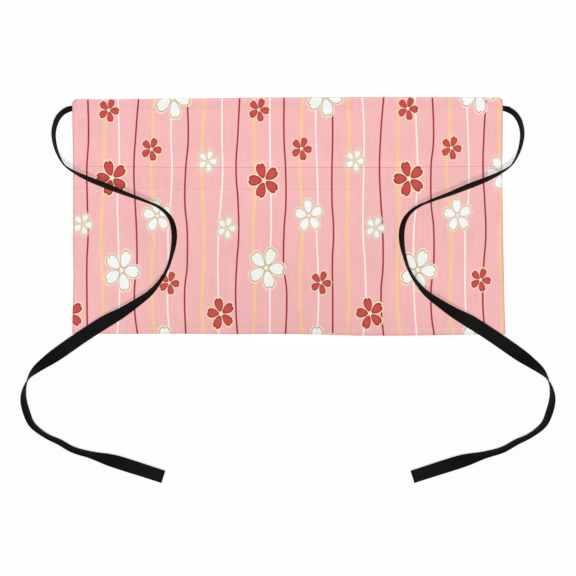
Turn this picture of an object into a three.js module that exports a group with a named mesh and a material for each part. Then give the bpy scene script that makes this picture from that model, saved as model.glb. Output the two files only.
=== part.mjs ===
// A half waist apron laid flat on its back: a printed cloth panel with a hem round it, one wide
// pocket sewn across its front, and two flat tape ties that leave the ends of the top hem.
// Millimetres. X runs across the apron, Y from the bottom edge up to the waist edge, Z out of its
// front. The origin is the middle of the cloth, on the surface that it lies on.
import * as THREE from 'three';
import { mergeVertices } from 'three/addons/utils/BufferGeometryUtils.js';

const { clamp, degToRad, lerp, smoothstep } = THREE.MathUtils;

// Driving sizes of the cloth
const APRON_WIDTH = 550;
const APRON_DEPTH = 300;
const CLOTH = 1.2; // one layer
const SEAM_GAP = 0.3; // between layers that are sewn together
const HEM_RAMP = 2; // length over which a hem steps up from the single cloth
const TOP_HEM = { deep: 18, thick: 2.4, endThick: 3.2, endRun: 30 };
const SIDE_HEM = { deep: 9, thick: 2 };
const POCKET = { deep: 212, hemDeep: 27, hemThick: 2, gape: 8, sideRun: 95, footRun: 90, seam: 5 };

// Driving sizes of the ties
const TAPE = { width: 17, thick: 1 };
const SEWN_END = { length: 12, width: 7, thick: 1.4, up: 137, roomBelow: 0.4, roomAbove: 1.2, lift: 0.1 };
const TAPE_OPENS_OVER = 40; // the doubled end spreads to the full tape over this length
const TAPE_CLEARANCE = 0.4; // above the cloth or the surface that it lies on
const TAPE_CLIMB = { from: 60, to: 95, run: 16 }; // where it starts up on to the cloth, and how gently
const STEPS_PER_STATION = 3;

// Grids of the sheets
const PANEL_STEP = 36;
const POCKET_STEP = 18;
const CORNER_LINES = [2, 5]; // from the side edges, to follow the rounded corners
const MERGE_WITHIN = 1e-4;

// How far each edge of the cloth strays outwards from a true rectangle, by the place along it. Only
// the outermost band of cloth moves with its edge.
const EDGE_BAND = 6;
const TOP_EDGE = [
  { at: -275, out: -4 },
  { at: -271, out: -2 },
  { at: -266, out: -0.8 },
  { at: -130, out: -0.2 },
  { at: 0, out: 0.9 },
  { at: 130, out: 1.5 },
  { at: 269, out: 1 },
  { at: 272, out: 0.4 },
  { at: 275, out: -1.6 },
];
const BOTTOM_EDGE = [
  { at: -275, out: -0.8 },
  { at: 0, out: -0.6 },
  { at: 95, out: 1.5 },
  { at: 165, out: 1.5 },
  { at: 275, out: 0.3 },
];
const LEFT_EDGE = [
  { at: -150, out: 0.6 },
  { at: 0, out: -1.4 },
  { at: 150, out: -0.6 },
];
const RIGHT_EDGE = [
  { at: -150, out: 0.6 },
  { at: -60, out: -0.6 },
  { at: 60, out: -1.8 },
  { at: 150, out: -1.4 },
];

// The right tie's route seen from the front, from its sewn end to its free end. out: distance from
// the apron's middle line, up: height on the apron, tilt: how far the tape is turned from lying flat.
const TIE_ROUTE = [
  { out: 263, up: 137.6, tilt: 0 },
  { out: 276, up: 137, tilt: 0 },
  { out: 283.8, up: 133.6, tilt: 50 },
  { out: 290.3, up: 128, tilt: 68 },
  { out: 295.4, up: 119, tilt: 74 },
  { out: 298.2, up: 106, tilt: 76.5 },
  { out: 296.8, up: 92, tilt: 79 },
  { out: 292.1, up: 77.5, tilt: 84.5 },
  { out: 283.5, up: 64.2, tilt: 92 },
  { out: 270.2, up: 54.6, tilt: 101 },
  { out: 252, up: 45.9, tilt: 110 },
  { out: 228.5, up: 36.6, tilt: 112.5 },
  { out: 205.5, up: 27.3, tilt: 105.5 },
  { out: 184.5, up: 19.9, tilt: 95.5 },
  { out: 168.5, up: 13.6, tilt: 86.5 },
  { out: 156.5, up: 5.1, tilt: 81 },
  { out: 148.8, up: -5.5, tilt: 72.5 },
  { out: 145, up: -19, tilt: 68.5 },
  { out: 145, up: -34, tilt: 70.5 },
  { out: 148, up: -50, tilt: 78 },
  { out: 153.3, up: -67, tilt: 82 },
  { out: 162.3, up: -82.5, tilt: 77 },
  { out: 175.8, up: -98, tilt: 66 },
  { out: 192.5, up: -110.4, tilt: 54 },
  { out: 212, up: -123.3, tilt: 38 },
  { out: 235, up: -136.3, tilt: 13 },
  { out: 263, up: -154.3, tilt: 10 },
  { out: 290, up: -173.1, tilt: -6 },
  { out: 309.5, up: -186.9, tilt: -36 },
  { out: 322.5, up: -197.5, tilt: -57 },
  { out: 330.5, up: -208, tilt: -82 },
  { out: 334.6, up: -220.5, tilt: -100 },
  { out: 335.5, up: -233.5, tilt: -112 },
  { out: 332.1, up: -248.5, tilt: -116 },
  { out: 324.6, up: -265, tilt: -112 },
  { out: 308, up: -278.4, tilt: -107 },
  { out: 289.8, up: -287.2, tilt: -111 },
  { out: 272, up: -297, tilt: -113 },
  { out: 247, up: -304.2, tilt: -121 },
  { out: 220, up: -312.2, tilt: -160 },
  { out: 190.5, up: -321.8, tilt: -184 },
  { out: 158.5, up: -332.2, tilt: -189 },
];

// Worked out from the driving sizes
const HALF_WIDTH = APRON_WIDTH / 2;
const HALF_DEPTH = APRON_DEPTH / 2;
const TOP_HEM_LINE = HALF_DEPTH - TOP_HEM.deep;
const SIDE_HEM_LINE = HALF_WIDTH - SIDE_HEM.deep;
const POCKET_MOUTH = POCKET.deep - HALF_DEPTH;
const POCKET_HEM_LINE = POCKET_MOUTH - POCKET.hemDeep;
const SIDE_SEAM = HALF_WIDTH - POCKET.seam;
const FOOT_SEAM = POCKET.seam - HALF_DEPTH;
const RECESS = {
  inner: HALF_WIDTH - SEWN_END.length - SEAM_GAP,
  low: SEWN_END.up - SEWN_END.width / 2 - SEWN_END.roomBelow,
  high: SEWN_END.up + SEWN_END.width / 2 + SEWN_END.roomAbove,
  height: SEWN_END.lift + SEWN_END.thick + SEAM_GAP,
  wall: 0.5, // width of its sloping sides
};

/** How far an edge strays at one place, eased from row to row of its table. */
function stray(rows, at) {
  const next = rows.findIndex((row) => row.at >= at);
  if (next < 1) return next === 0 ? rows[0].out : rows[rows.length - 1].out;
  const [a, b] = [rows[next - 1], rows[next]];
  return lerp(a.out, b.out, smoothstep(at, a.at, b.at));
}

/** Where a place on the true rectangle lies on the cloth as it was laid down. */
function onCloth(x, y) {
  const besideShare = smoothstep(Math.abs(x), HALF_WIDTH - EDGE_BAND, HALF_WIDTH);
  const endShare = smoothstep(Math.abs(y), HALF_DEPTH - EDGE_BAND, HALF_DEPTH);
  const beside = stray(x < 0 ? LEFT_EDGE : RIGHT_EDGE, y) * besideShare;
  const end = stray(y < 0 ? BOTTOM_EDGE : TOP_EDGE, x) * endShare;
  return [x + Math.sign(x) * beside, y + Math.sign(y) * end];
}

/** Sorted places from one end to the other: the named lines, and even steps between them. */
function gridLines(named, step) {
  const lines = [...new Set(named)].sort((a, b) => a - b);
  return lines.flatMap((line, i) => {
    if (i === 0) return [line];
    const gap = line - lines[i - 1];
    const count = Math.max(1, Math.round(gap / step));
    return Array.from({ length: count }, (_, k) => lines[i - 1] + (gap * (k + 1)) / count);
  });
}

/** Closed geometry with shared corners, from one whose corners are moved by `place`. */
function closedFrom(box, place) {
  box.deleteAttribute('normal');
  box.deleteAttribute('uv');
  const corners = box.getAttribute('position');
  const corner = new THREE.Vector3();
  for (let i = 0; i < corners.count; i += 1) {
    corner.fromBufferAttribute(corners, i);
    corners.setXYZ(i, ...place(corner));
  }
  const closed = mergeVertices(box, MERGE_WITHIN);
  closed.computeVertexNormals();
  return closed;
}

/** A closed sheet of cloth on a grid, between its back and front heights. */
function sheet(columns, rows, back, front) {
  const box = new THREE.BoxGeometry(1, 1, 1, columns.length - 1, rows.length - 1, 1);
  return closedFrom(box, (corner) => {
    const x = columns[Math.round((corner.x + 0.5) * (columns.length - 1))];
    const y = rows[Math.round((corner.y + 0.5) * (rows.length - 1))];
    return [...onCloth(x, y), (corner.z < 0 ? back : front)(x, y)];
  });
}

/** Back of the panel: flat, with a recess under each end of the top hem for a tie's sewn end. */
function panelBack(x, y) {
  const inside = Math.abs(x) >= RECESS.inner && y >= RECESS.low && y <= RECESS.high;
  return inside ? RECESS.height : 0;
}

/** Front of the panel: single cloth, raised at the top hem and at the bare sides above the pocket. */
function panelFront(x, y) {
  const topEnd = smoothstep(Math.abs(x), RECESS.inner - TOP_HEM.endRun, RECESS.inner);
  const topThick = lerp(TOP_HEM.thick, TOP_HEM.endThick, topEnd);
  const top = (topThick - CLOTH) * smoothstep(y, TOP_HEM_LINE - HEM_RAMP, TOP_HEM_LINE);
  const bare = smoothstep(y, POCKET_MOUTH, POCKET_MOUTH + HEM_RAMP);
  const beside = smoothstep(Math.abs(x), SIDE_HEM_LINE - HEM_RAMP, SIDE_HEM_LINE);
  const side = (SIDE_HEM.thick - CLOTH) * beside * bare;
  return CLOTH + Math.max(top, side);
}

/** How far the pocket stands away from the panel: nothing at its seams, most along its mouth. */
function pocketLift(x, y) {
  const across = smoothstep(SIDE_SEAM - Math.abs(x), 0, POCKET.sideRun);
  const up = smoothstep(y - FOOT_SEAM, 0, POCKET.footRun);
  return POCKET.gape * across * up;
}

/** Back of the pocket, a seam's gap in front of the panel where it doesn't lift. */
function pocketBack(x, y) {
  return CLOTH + SEAM_GAP + pocketLift(x, y);
}

/** Front of the pocket: single cloth, raised at the hem along its mouth. */
function pocketFront(x, y) {
  const hem = (POCKET.hemThick - CLOTH) * smoothstep(y, POCKET_HEM_LINE - HEM_RAMP, POCKET_HEM_LINE);
  return pocketBack(x, y) + CLOTH + hem;
}

/** Height of what lies under a point: pocket, panel, or the surface past the edge, with an eased step. */
function underlay(x, y) {
  const near = [
    clamp(x, -HALF_WIDTH, HALF_WIDTH),
    clamp(y, -HALF_DEPTH, HALF_DEPTH),
  ];
  const past = Math.hypot(x - near[0], y - near[1]);
  const cloth = near[1] < POCKET_MOUTH + HEM_RAMP ? pocketFront(...near) : panelFront(...near);
  return cloth * (1 - smoothstep(past, 0, TAPE_CLIMB.run));
}

/** Sections of the right tie along its route: centre, directions across and through, and size. */
function tieSections() {
  const stations = TIE_ROUTE.map((row) => new THREE.Vector3(row.out, row.up, row.tilt));
  const route = new THREE.CatmullRomCurve3(stations, false, 'catmullrom', 0.5);
  const points = route.getPoints((stations.length - 1) * STEPS_PER_STATION);
  let run = 0;
  return points.map((point, i) => {
    const before = points[Math.max(i - 1, 0)];
    const after = points[Math.min(i + 1, points.length - 1)];
    const along = new THREE.Vector2(after.x - before.x, after.y - before.y).normalize();
    if (i > 0) run += Math.hypot(point.x - before.x, point.y - before.y);
    const spread = smoothstep(run, SEWN_END.length, TAPE_OPENS_OVER);
    const tilt = run > SEWN_END.length ? degToRad(point.z) : 0;
    const width = lerp(SEWN_END.width, TAPE.width, spread);
    const thick = lerp(SEWN_END.thick, TAPE.thick, spread);
    const across = new THREE.Vector3(-along.y, along.x, 0).multiplyScalar(Math.cos(tilt));
    across.z = Math.sin(tilt);
    const through = new THREE.Vector3(along.x, along.y, 0).cross(across);
    const height = restHeight(point, across, through, width, thick, run);
    return { centre: new THREE.Vector3(point.x, point.y, height), across, through, width, thick };
  });
}

/** Height of a section's centre at which its lowest point just clears what lies under it. */
function restHeight(point, across, through, width, thick, run) {
  const climb = smoothstep(run, TAPE_CLIMB.from, TAPE_CLIMB.to);
  const clearance = lerp(SEWN_END.lift, TAPE_CLEARANCE, climb);
  const heights = [-1, -0.5, 0, 0.5, 1].map((share) => {
    const reach = (share * width) / 2;
    const under = climb * underlay(point.x + across.x * reach, point.y + across.y * reach);
    return under + clearance - across.z * reach + (Math.abs(through.z) * thick) / 2;
  });
  return Math.max(...heights);
}

/** One tie as a closed tape through its sections. side is 1 for the right tie, -1 for the left. */
function tie(side) {
  const sections = tieSections();
  const steps = sections.length - 1;
  const box = new THREE.BoxGeometry(1, 1, 1, steps, 1, 1);
  return closedFrom(box, (corner) => {
    const section = sections[Math.round((corner.x + 0.5) * steps)];
    const spot = section.centre
      .clone()
      .addScaledVector(section.across, side * corner.y * section.width)
      .addScaledVector(section.through, corner.z * section.thick);
    return [side * spot.x, spot.y, spot.z];
  });
}

/** Both signs of each value. */
function mirrored(...values) {
  return values.flatMap((value) => [-value, value]);
}

/** The main cloth. */
function bodyPanel() {
  const columns = gridLines(
    [
      ...mirrored(HALF_WIDTH, ...CORNER_LINES.map((inset) => HALF_WIDTH - inset)),
      ...mirrored(SIDE_HEM_LINE, SIDE_HEM_LINE - HEM_RAMP),
      ...mirrored(RECESS.inner, RECESS.inner - RECESS.wall, RECESS.inner - TOP_HEM.endRun),
    ],
    PANEL_STEP,
  );
  const rows = gridLines(
    [
      ...mirrored(HALF_DEPTH),
      POCKET_MOUTH,
      POCKET_MOUTH + HEM_RAMP,
      TOP_HEM_LINE - HEM_RAMP,
      TOP_HEM_LINE,
      RECESS.low - RECESS.wall,
      RECESS.low,
      RECESS.high,
      RECESS.high + RECESS.wall,
    ],
    PANEL_STEP,
  );
  return sheet(columns, rows, panelBack, panelFront);
}

/** The pocket's cloth, from the bottom edge up to its mouth. */
function pocketPanel() {
  const columns = gridLines(mirrored(HALF_WIDTH, SIDE_SEAM, SIDE_SEAM - POCKET.sideRun), POCKET_STEP);
  const rows = gridLines(
    [
      -HALF_DEPTH,
      FOOT_SEAM,
      FOOT_SEAM + POCKET.footRun,
      POCKET_HEM_LINE - HEM_RAMP,
      POCKET_HEM_LINE,
      POCKET_MOUTH,
    ],
    POCKET_STEP,
  );
  return sheet(columns, rows, pocketBack, pocketFront);
}

const printedCloth = new THREE.MeshStandardMaterial({ color: 0xf5b7b8, roughness: 0.9, metalness: 0 });
const blackTape = new THREE.MeshStandardMaterial({ color: 0x161616, roughness: 0.8, metalness: 0 });

const pieces = [
  { name: 'body_panel', geometry: bodyPanel(), material: printedCloth },
  { name: 'pocket_panel', geometry: pocketPanel(), material: printedCloth },
  { name: 'left_tie', geometry: tie(-1), material: blackTape },
  { name: 'right_tie', geometry: tie(1), material: blackTape },
];

const apron = new THREE.Group();
for (const { name, geometry, material } of pieces) {
  const mesh = new THREE.Mesh(geometry, material);
  mesh.name = name;
  apron.add(mesh);
}

export default apron;
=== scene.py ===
"""A half waist apron laid flat: printed cotton with one wide pocket, and two black tape ties.

Metres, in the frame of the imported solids: X runs across the apron, Y from its bottom edge up to the
waist edge and Z out of its front. The origin is on the surface that the apron lies on.
"""

from __future__ import annotations

import logging
import math
from dataclasses import dataclass, field
from enum import Enum
from typing import ClassVar, Iterable, Mapping, NamedTuple, Sequence

import bpy
import numpy as np
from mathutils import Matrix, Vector

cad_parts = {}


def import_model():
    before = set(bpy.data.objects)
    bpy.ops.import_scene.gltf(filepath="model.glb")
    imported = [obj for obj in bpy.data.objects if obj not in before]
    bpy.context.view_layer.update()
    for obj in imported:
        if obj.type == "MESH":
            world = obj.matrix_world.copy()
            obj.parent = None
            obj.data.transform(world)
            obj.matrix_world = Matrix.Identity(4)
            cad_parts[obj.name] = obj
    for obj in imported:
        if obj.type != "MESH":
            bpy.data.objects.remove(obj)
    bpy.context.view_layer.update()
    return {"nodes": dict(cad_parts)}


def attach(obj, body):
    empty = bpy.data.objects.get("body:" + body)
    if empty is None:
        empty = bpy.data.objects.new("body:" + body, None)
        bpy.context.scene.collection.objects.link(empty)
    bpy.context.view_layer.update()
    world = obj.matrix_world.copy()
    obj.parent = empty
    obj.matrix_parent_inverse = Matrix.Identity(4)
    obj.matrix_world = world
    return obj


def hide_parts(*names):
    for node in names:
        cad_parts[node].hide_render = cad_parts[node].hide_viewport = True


LOG = logging.getLogger("apron")
CARRIER = "root"
BAKE_MAP = "OFBake"
TAPE_MAP = "TapeRun"
# Mesh attribute holding painted shade along the cloth's sides and foot and painted light along its waist
# edge
PAINTED_EDGE_TONE = "Fold"
MILLIMETRES = 1000  # in a metre
POCKET_MOUTH = 0.0636

Array = np.ndarray
Colour = tuple[float, float, float, float]
Feed = bpy.types.NodeSocket | float | Sequence[float]
Place = tuple[float, float]
Waves = tuple[tuple[float, float], ...]
Lines = Sequence[float]
Row = tuple[Place, Place]


class Slot(Enum):
    """The record's material slots."""

    CLOTH = "printed_cloth"
    TAPE = "black_tape"


class Side(Enum):
    """The two ends of the waist."""

    LEFT = -1
    RIGHT = 1


class Ink(Enum):
    """Inks of the print."""

    RED = "red"
    YELLOW = "yellow"
    WHITE = "white"


class Station(NamedTuple):
    """One place on a tie's route: out from the middle line, up the apron, and the tape's tilt in degrees."""

    out: float
    up: float
    tilt: float


class Lamp(NamedTuple):
    """A far lamp: its strength, its spread in degrees, and where it hangs."""

    name: str
    strength: float
    spread: float
    place: tuple[float, float, float]


class Stripe(NamedTuple):
    """A wavering stripe: its places across, in millimetres, at even steps from the waist edge down."""

    ink: Ink
    course: tuple[float, ...]


class Motif(NamedTuple):
    """A blossom of the print: turn in degrees, reach of its petals, softness of its edge, and its places."""

    ink: Ink
    turn: float
    reach: float
    soft: float
    places: tuple[Place, ...]


# The right tie's route seen from the front, from its sewn end to its free end
TIE_ROUTE = (
    Station(0.2630, 0.1376, 0),
    Station(0.2760, 0.1370, 0),
    Station(0.2838, 0.1336, 50),
    Station(0.2903, 0.1280, 68),
    Station(0.2954, 0.1190, 74),
    Station(0.2982, 0.1060, 76.5),
    Station(0.2968, 0.0920, 79),
    Station(0.2921, 0.0775, 84.5),
    Station(0.2835, 0.0642, 92),
    Station(0.2702, 0.0546, 101),
    Station(0.2520, 0.0459, 110),
    Station(0.2285, 0.0366, 112.5),
    Station(0.2055, 0.0273, 105.5),
    Station(0.1845, 0.0199, 95.5),
    Station(0.1685, 0.0136, 86.5),
    Station(0.1565, 0.0051, 81),
    Station(0.1488, -0.0055, 72.5),
    Station(0.1450, -0.0190, 68.5),
    Station(0.1450, -0.0340, 70.5),
    Station(0.1480, -0.0500, 78),
    Station(0.1533, -0.0670, 82),
    Station(0.1623, -0.0825, 77),
    Station(0.1758, -0.0980, 66),
    Station(0.1925, -0.1104, 54),
    Station(0.2120, -0.1233, 38),
    Station(0.2350, -0.1363, 13),
    Station(0.2630, -0.1543, 10),
    Station(0.2900, -0.1731, -6),
    Station(0.3095, -0.1869, -36),
    Station(0.3225, -0.1975, -57),
    Station(0.3305, -0.2080, -82),
    Station(0.3346, -0.2205, -100),
    Station(0.3355, -0.2335, -112),
    Station(0.3321, -0.2485, -116),
    Station(0.3246, -0.2650, -112),
    Station(0.3080, -0.2784, -107),
    Station(0.2898, -0.2872, -111),
    Station(0.2720, -0.2970, -113),
    Station(0.2470, -0.3042, -121),
    Station(0.2200, -0.3122, -160),
    Station(0.1905, -0.3218, -184),
    Station(0.1585, -0.3322, -189),
)

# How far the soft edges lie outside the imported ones, in millimetres at even steps along each edge
EDGE_DRIFT = {
    (0, -1): (-0.3, -1.4, -1.4, 0.1, 0.2, 0.1, -0.1, 0.2, 0.3),
    (0, 1): (2.0, 0.7, 0.6, 0.0, 0.1, -0.2, 0.0, 0.3, 0.0),
    (1, -1): (0.9, 0.8, 0.7, 1.1, 0.8, 0.9, 1.0, 0.4, 0.7),
    (1, 1): (-0.9, -0.8, -0.5, -0.3, -0.1, -0.1, -0.1, -0.1, -0.5),
}

# The print's stripes from left to right, charted at eight heights
STRIPES = (
    Stripe(Ink.RED, (-254.5, -254, -256, -255.5, -254.5, -256, -256, -255.5)),
    Stripe(Ink.YELLOW, (-233.5, -233, -234.5, -236, -238, -237, -235.5, -236.5)),
    Stripe(Ink.WHITE, (-216, -215, -215, -217, -216, -215, -214.5, -216.5)),
    Stripe(Ink.RED, (-191, -194, -196, -194.5, -192.5, -192, -195.5, -193)),
    Stripe(Ink.YELLOW, (-171.5, -173, -174, -171.5, -170.5, -173, -173.5, -170.5)),
    Stripe(Ink.WHITE, (-148.5, -149, -147.5, -149, -152.5, -152, -153.5, -151.5)),
    Stripe(Ink.RED, (-128, -127, -130, -131, -128, -128, -131.5, -130.5)),
    Stripe(Ink.YELLOW, (-106, -109, -110, -108, -107, -107, -109.5, -108)),
    Stripe(Ink.WHITE, (-84, -84, -83, -85, -88, -89, -88.5, -88)),
    Stripe(Ink.RED, (-62, -64, -66, -63.5, -62.5, -65, -66.5, -65)),
    Stripe(Ink.YELLOW, (-43.5, -42.5, -42, -42, -44.5, -44, -42, -43.5)),
    Stripe(Ink.WHITE, (-23, -23, -22.5, -21.5, -21.5, -23, -23, -23)),
    Stripe(Ink.RED, (-5, -5, -3, -2.5, -5, -5.5, -1.5, -2.5)),
    Stripe(Ink.YELLOW, (18.5, 16.5, 15, 17.5, 18.5, 16.5, 15.5, 17.5)),
    Stripe(Ink.WHITE, (35.5, 35.5, 37, 38, 36.5, 38, 39, 37.5)),
    Stripe(Ink.RED, (56.5, 57, 56, 56, 58, 56.5, 57, 57)),
    Stripe(Ink.YELLOW, (76.5, 78, 76, 76, 75, 76, 77.5, 76)),
    Stripe(Ink.WHITE, (95.5, 97, 96.5, 95.5, 95.5, 98, 99, 97)),
    Stripe(Ink.RED, (121, 118, 116.5, 118, 120.5, 121, 118.5, 120.5)),
    Stripe(Ink.YELLOW, (141.5, 140.5, 140, 140.5, 141, 139, 139, 141.5)),
    Stripe(Ink.WHITE, (162.5, 164, 165, 163.5, 160, 159.5, 160.5, 163)),
    Stripe(Ink.RED, (184.5, 185.5, 182, 182, 185.5, 185.5, 182, 184.5)),
    Stripe(Ink.YELLOW, (206.5, 205, 202, 204.5, 206.5, 207.5, 205, 208.5)),
    Stripe(Ink.WHITE, (228, 229.5, 230.5, 229.5, 225.5, 225.5, 225.5, 229)),
    Stripe(Ink.RED, (252, 249.5, 248.5, 250.5, 252, 249.5, 248, 250.5)),
    Stripe(Ink.YELLOW, (268.5, 268.5, 270, 272, 270, 270, 273.5, 273)),
)

# The print's blossoms, from the waist edge down
MOTIFS = (
    Motif(Ink.WHITE, 23, 0.0230, 0.0003, ((-0.1470, 0.1505), (0.0469, 0.1532), (0.2417, 0.1574))),
    Motif(Ink.RED, 23, 0.0133, 0.0005, ((-0.2283, 0.1348), (-0.0371, 0.1353), (0.1526, 0.1370))),
    Motif(Ink.RED, 23, 0.0133, 0.0004, ((-0.1739, 0.0850), (0.0172, 0.0857), (0.2080, 0.0868))),
    Motif(Ink.WHITE, 23, 0.0128, 0.0016, ((-0.1023, 0.0701), (0.0852, 0.0707))),
    Motif(Ink.WHITE, -24, 0.0188, 0.0014, ((0.2712, 0.0556),)),
    Motif(Ink.RED, -18, 0.0199, 0.0003, ((-0.2241, 0.0485), (-0.0303, 0.0452), (0.1541, 0.0473))),
    Motif(Ink.WHITE, -6, 0.0184, 0.0008, ((-0.1662, 0.0000), (0.0266, 0.0004), (0.2159, 0.0008))),
    Motif(Ink.WHITE, 23, 0.0128, 0.0015, ((-0.2612, -0.0103), (-0.0781, -0.0152), (0.1110, -0.0148))),
    Motif(Ink.WHITE, 23, 0.0230, 0.0003, ((-0.2118, -0.0691), (-0.0277, -0.0659), (0.1654, -0.0685))),
    Motif(Ink.RED, 23, 0.0133, 0.0004, ((-0.1512, -0.0851), (0.0419, -0.0848), (0.2452, -0.0812))),
    Motif(Ink.RED, -14, 0.0178, 0.0003, ((-0.2782, -0.1244), (-0.0853, -0.1243), (0.1044, -0.1241))),
    Motif(Ink.WHITE, -8, 0.0230, 0.0003, ((-0.1547, -0.1672), (0.0390, -0.1672), (0.2330, -0.1672))),
)


def ease(value: Array | float, low: float, high: float) -> Array:
    """Smooth step from 0 at low to 1 at high."""
    share = np.clip((np.asarray(value) - low) / (high - low), 0.0, 1.0)
    return share * share * (3.0 - 2.0 * share)


def hump(value: Array, middle: float, reach: float) -> Array:
    """Bell curve: 1 at the middle, fading over the reach."""
    return np.exp(-(((np.asarray(value) - middle) / reach) ** 2))


def swatch(red: int, green: int, blue: int) -> Colour:
    """Linear colour of a swatch that is given in 8-bit display values, by the sRGB curve.

    Args:
        red: Red, from 0 to 255.
        green: Green.
        blue: Blue.

    Returns:
        The linear colour, with full opacity.
    """
    shares = [value / 255.0 for value in (red, green, blue)]
    linear = [((s + 0.055) / 1.055) ** 2.4 if s > 0.04045 else s / 12.92 for s in shares]
    return (*linear, 1.0)


def grid_lines(named: Iterable[float], step: float) -> Array:
    """Places for a grid: the named lines, with even steps between neighbours.

    Args:
        named: Lines that the grid has to hold, in any order.
        step: Widest gap between two lines.

    Returns:
        The sorted places.
    """
    lines = sorted(set(named))
    runs = [
        np.linspace(low, high, math.ceil((high - low) / step) + 1)[1:]
        for low, high in zip(lines, lines[1:])
    ]
    return np.concatenate([[lines[0]], *runs])


def ripple(along: Array, waves: Waves) -> Array:
    """Uneven ripple between about -1 and 1.

    Args:
        along: Places along the ripple.
        waves: Length and phase of each wave in it.

    Returns:
        The ripple's height at each place.
    """
    return sum(np.sin(2 * math.pi * along / length + phase) for length, phase in waves) / len(waves)


def unit(vectors: Array) -> Array:
    """Vectors of length 1 in the same directions."""
    return vectors / np.linalg.norm(vectors, axis=-1, keepdims=True)


def quads(number: Array) -> Array:
    """Faces of a grid of corner numbers, seen from its front."""
    corners = [number[:-1, :-1], number[:-1, 1:], number[1:, 1:], number[1:, :-1]]
    return np.stack(corners, axis=-1).reshape(-1, 4)


@dataclass
class MeshParts:
    """Arrays that one mesh is made from.

    Attributes:
        corners: One row for each corner.
        faces: Four corner numbers for each face.
        finish: Number of each face's material.
        maps: Flat maps by name, each with the place of every face's four corners.
        fold: Tone painted at each corner near the cloth's edge, if any: up to 1 for painted shade and below
            0 for painted light.
    """

    corners: Array
    faces: Array
    finish: Array
    maps: dict[str, Array] = field(default_factory=dict)
    fold: Array | None = None

    def make(self, name: str, slot: Slot, materials: Sequence[bpy.types.Material]) -> bpy.types.Object:
        """Turn the arrays into a smooth-shaded piece that rides on the apron.

        Args:
            name: Name of the piece.
            slot: The record's slot for its finish; not used.
            materials: Its materials, in the order of the finish numbers.

        Returns:
            The new object.
        """
        mesh = bpy.data.meshes.new(name)
        mesh.from_pydata(self.corners.tolist(), [], self.faces.tolist())
        for material in materials:
            mesh.materials.append(material)
        mesh.polygons.foreach_set("material_index", self.finish.astype(np.int32))
        mesh.polygons.foreach_set("use_smooth", np.ones(len(self.faces), dtype=bool))
        for title, layout in self.maps.items():
            mesh.uv_layers.new(name=title).data.foreach_set("uv", layout.astype(np.float32).ravel())
        # Painted shade and painted light near the cloth's edges, for its material to read
        if self.fold is not None:
            tone = mesh.attributes.new(PAINTED_EDGE_TONE, "FLOAT", "POINT")
            tone.data.foreach_set("value", self.fold.astype(np.float32))
        mesh.update()
        piece = bpy.data.objects.new(name, mesh)
        bpy.context.scene.collection.objects.link(piece)
        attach(piece, CARRIER)
        LOG.info("%s: %d faces", name, len(self.faces))
        return piece


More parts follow.
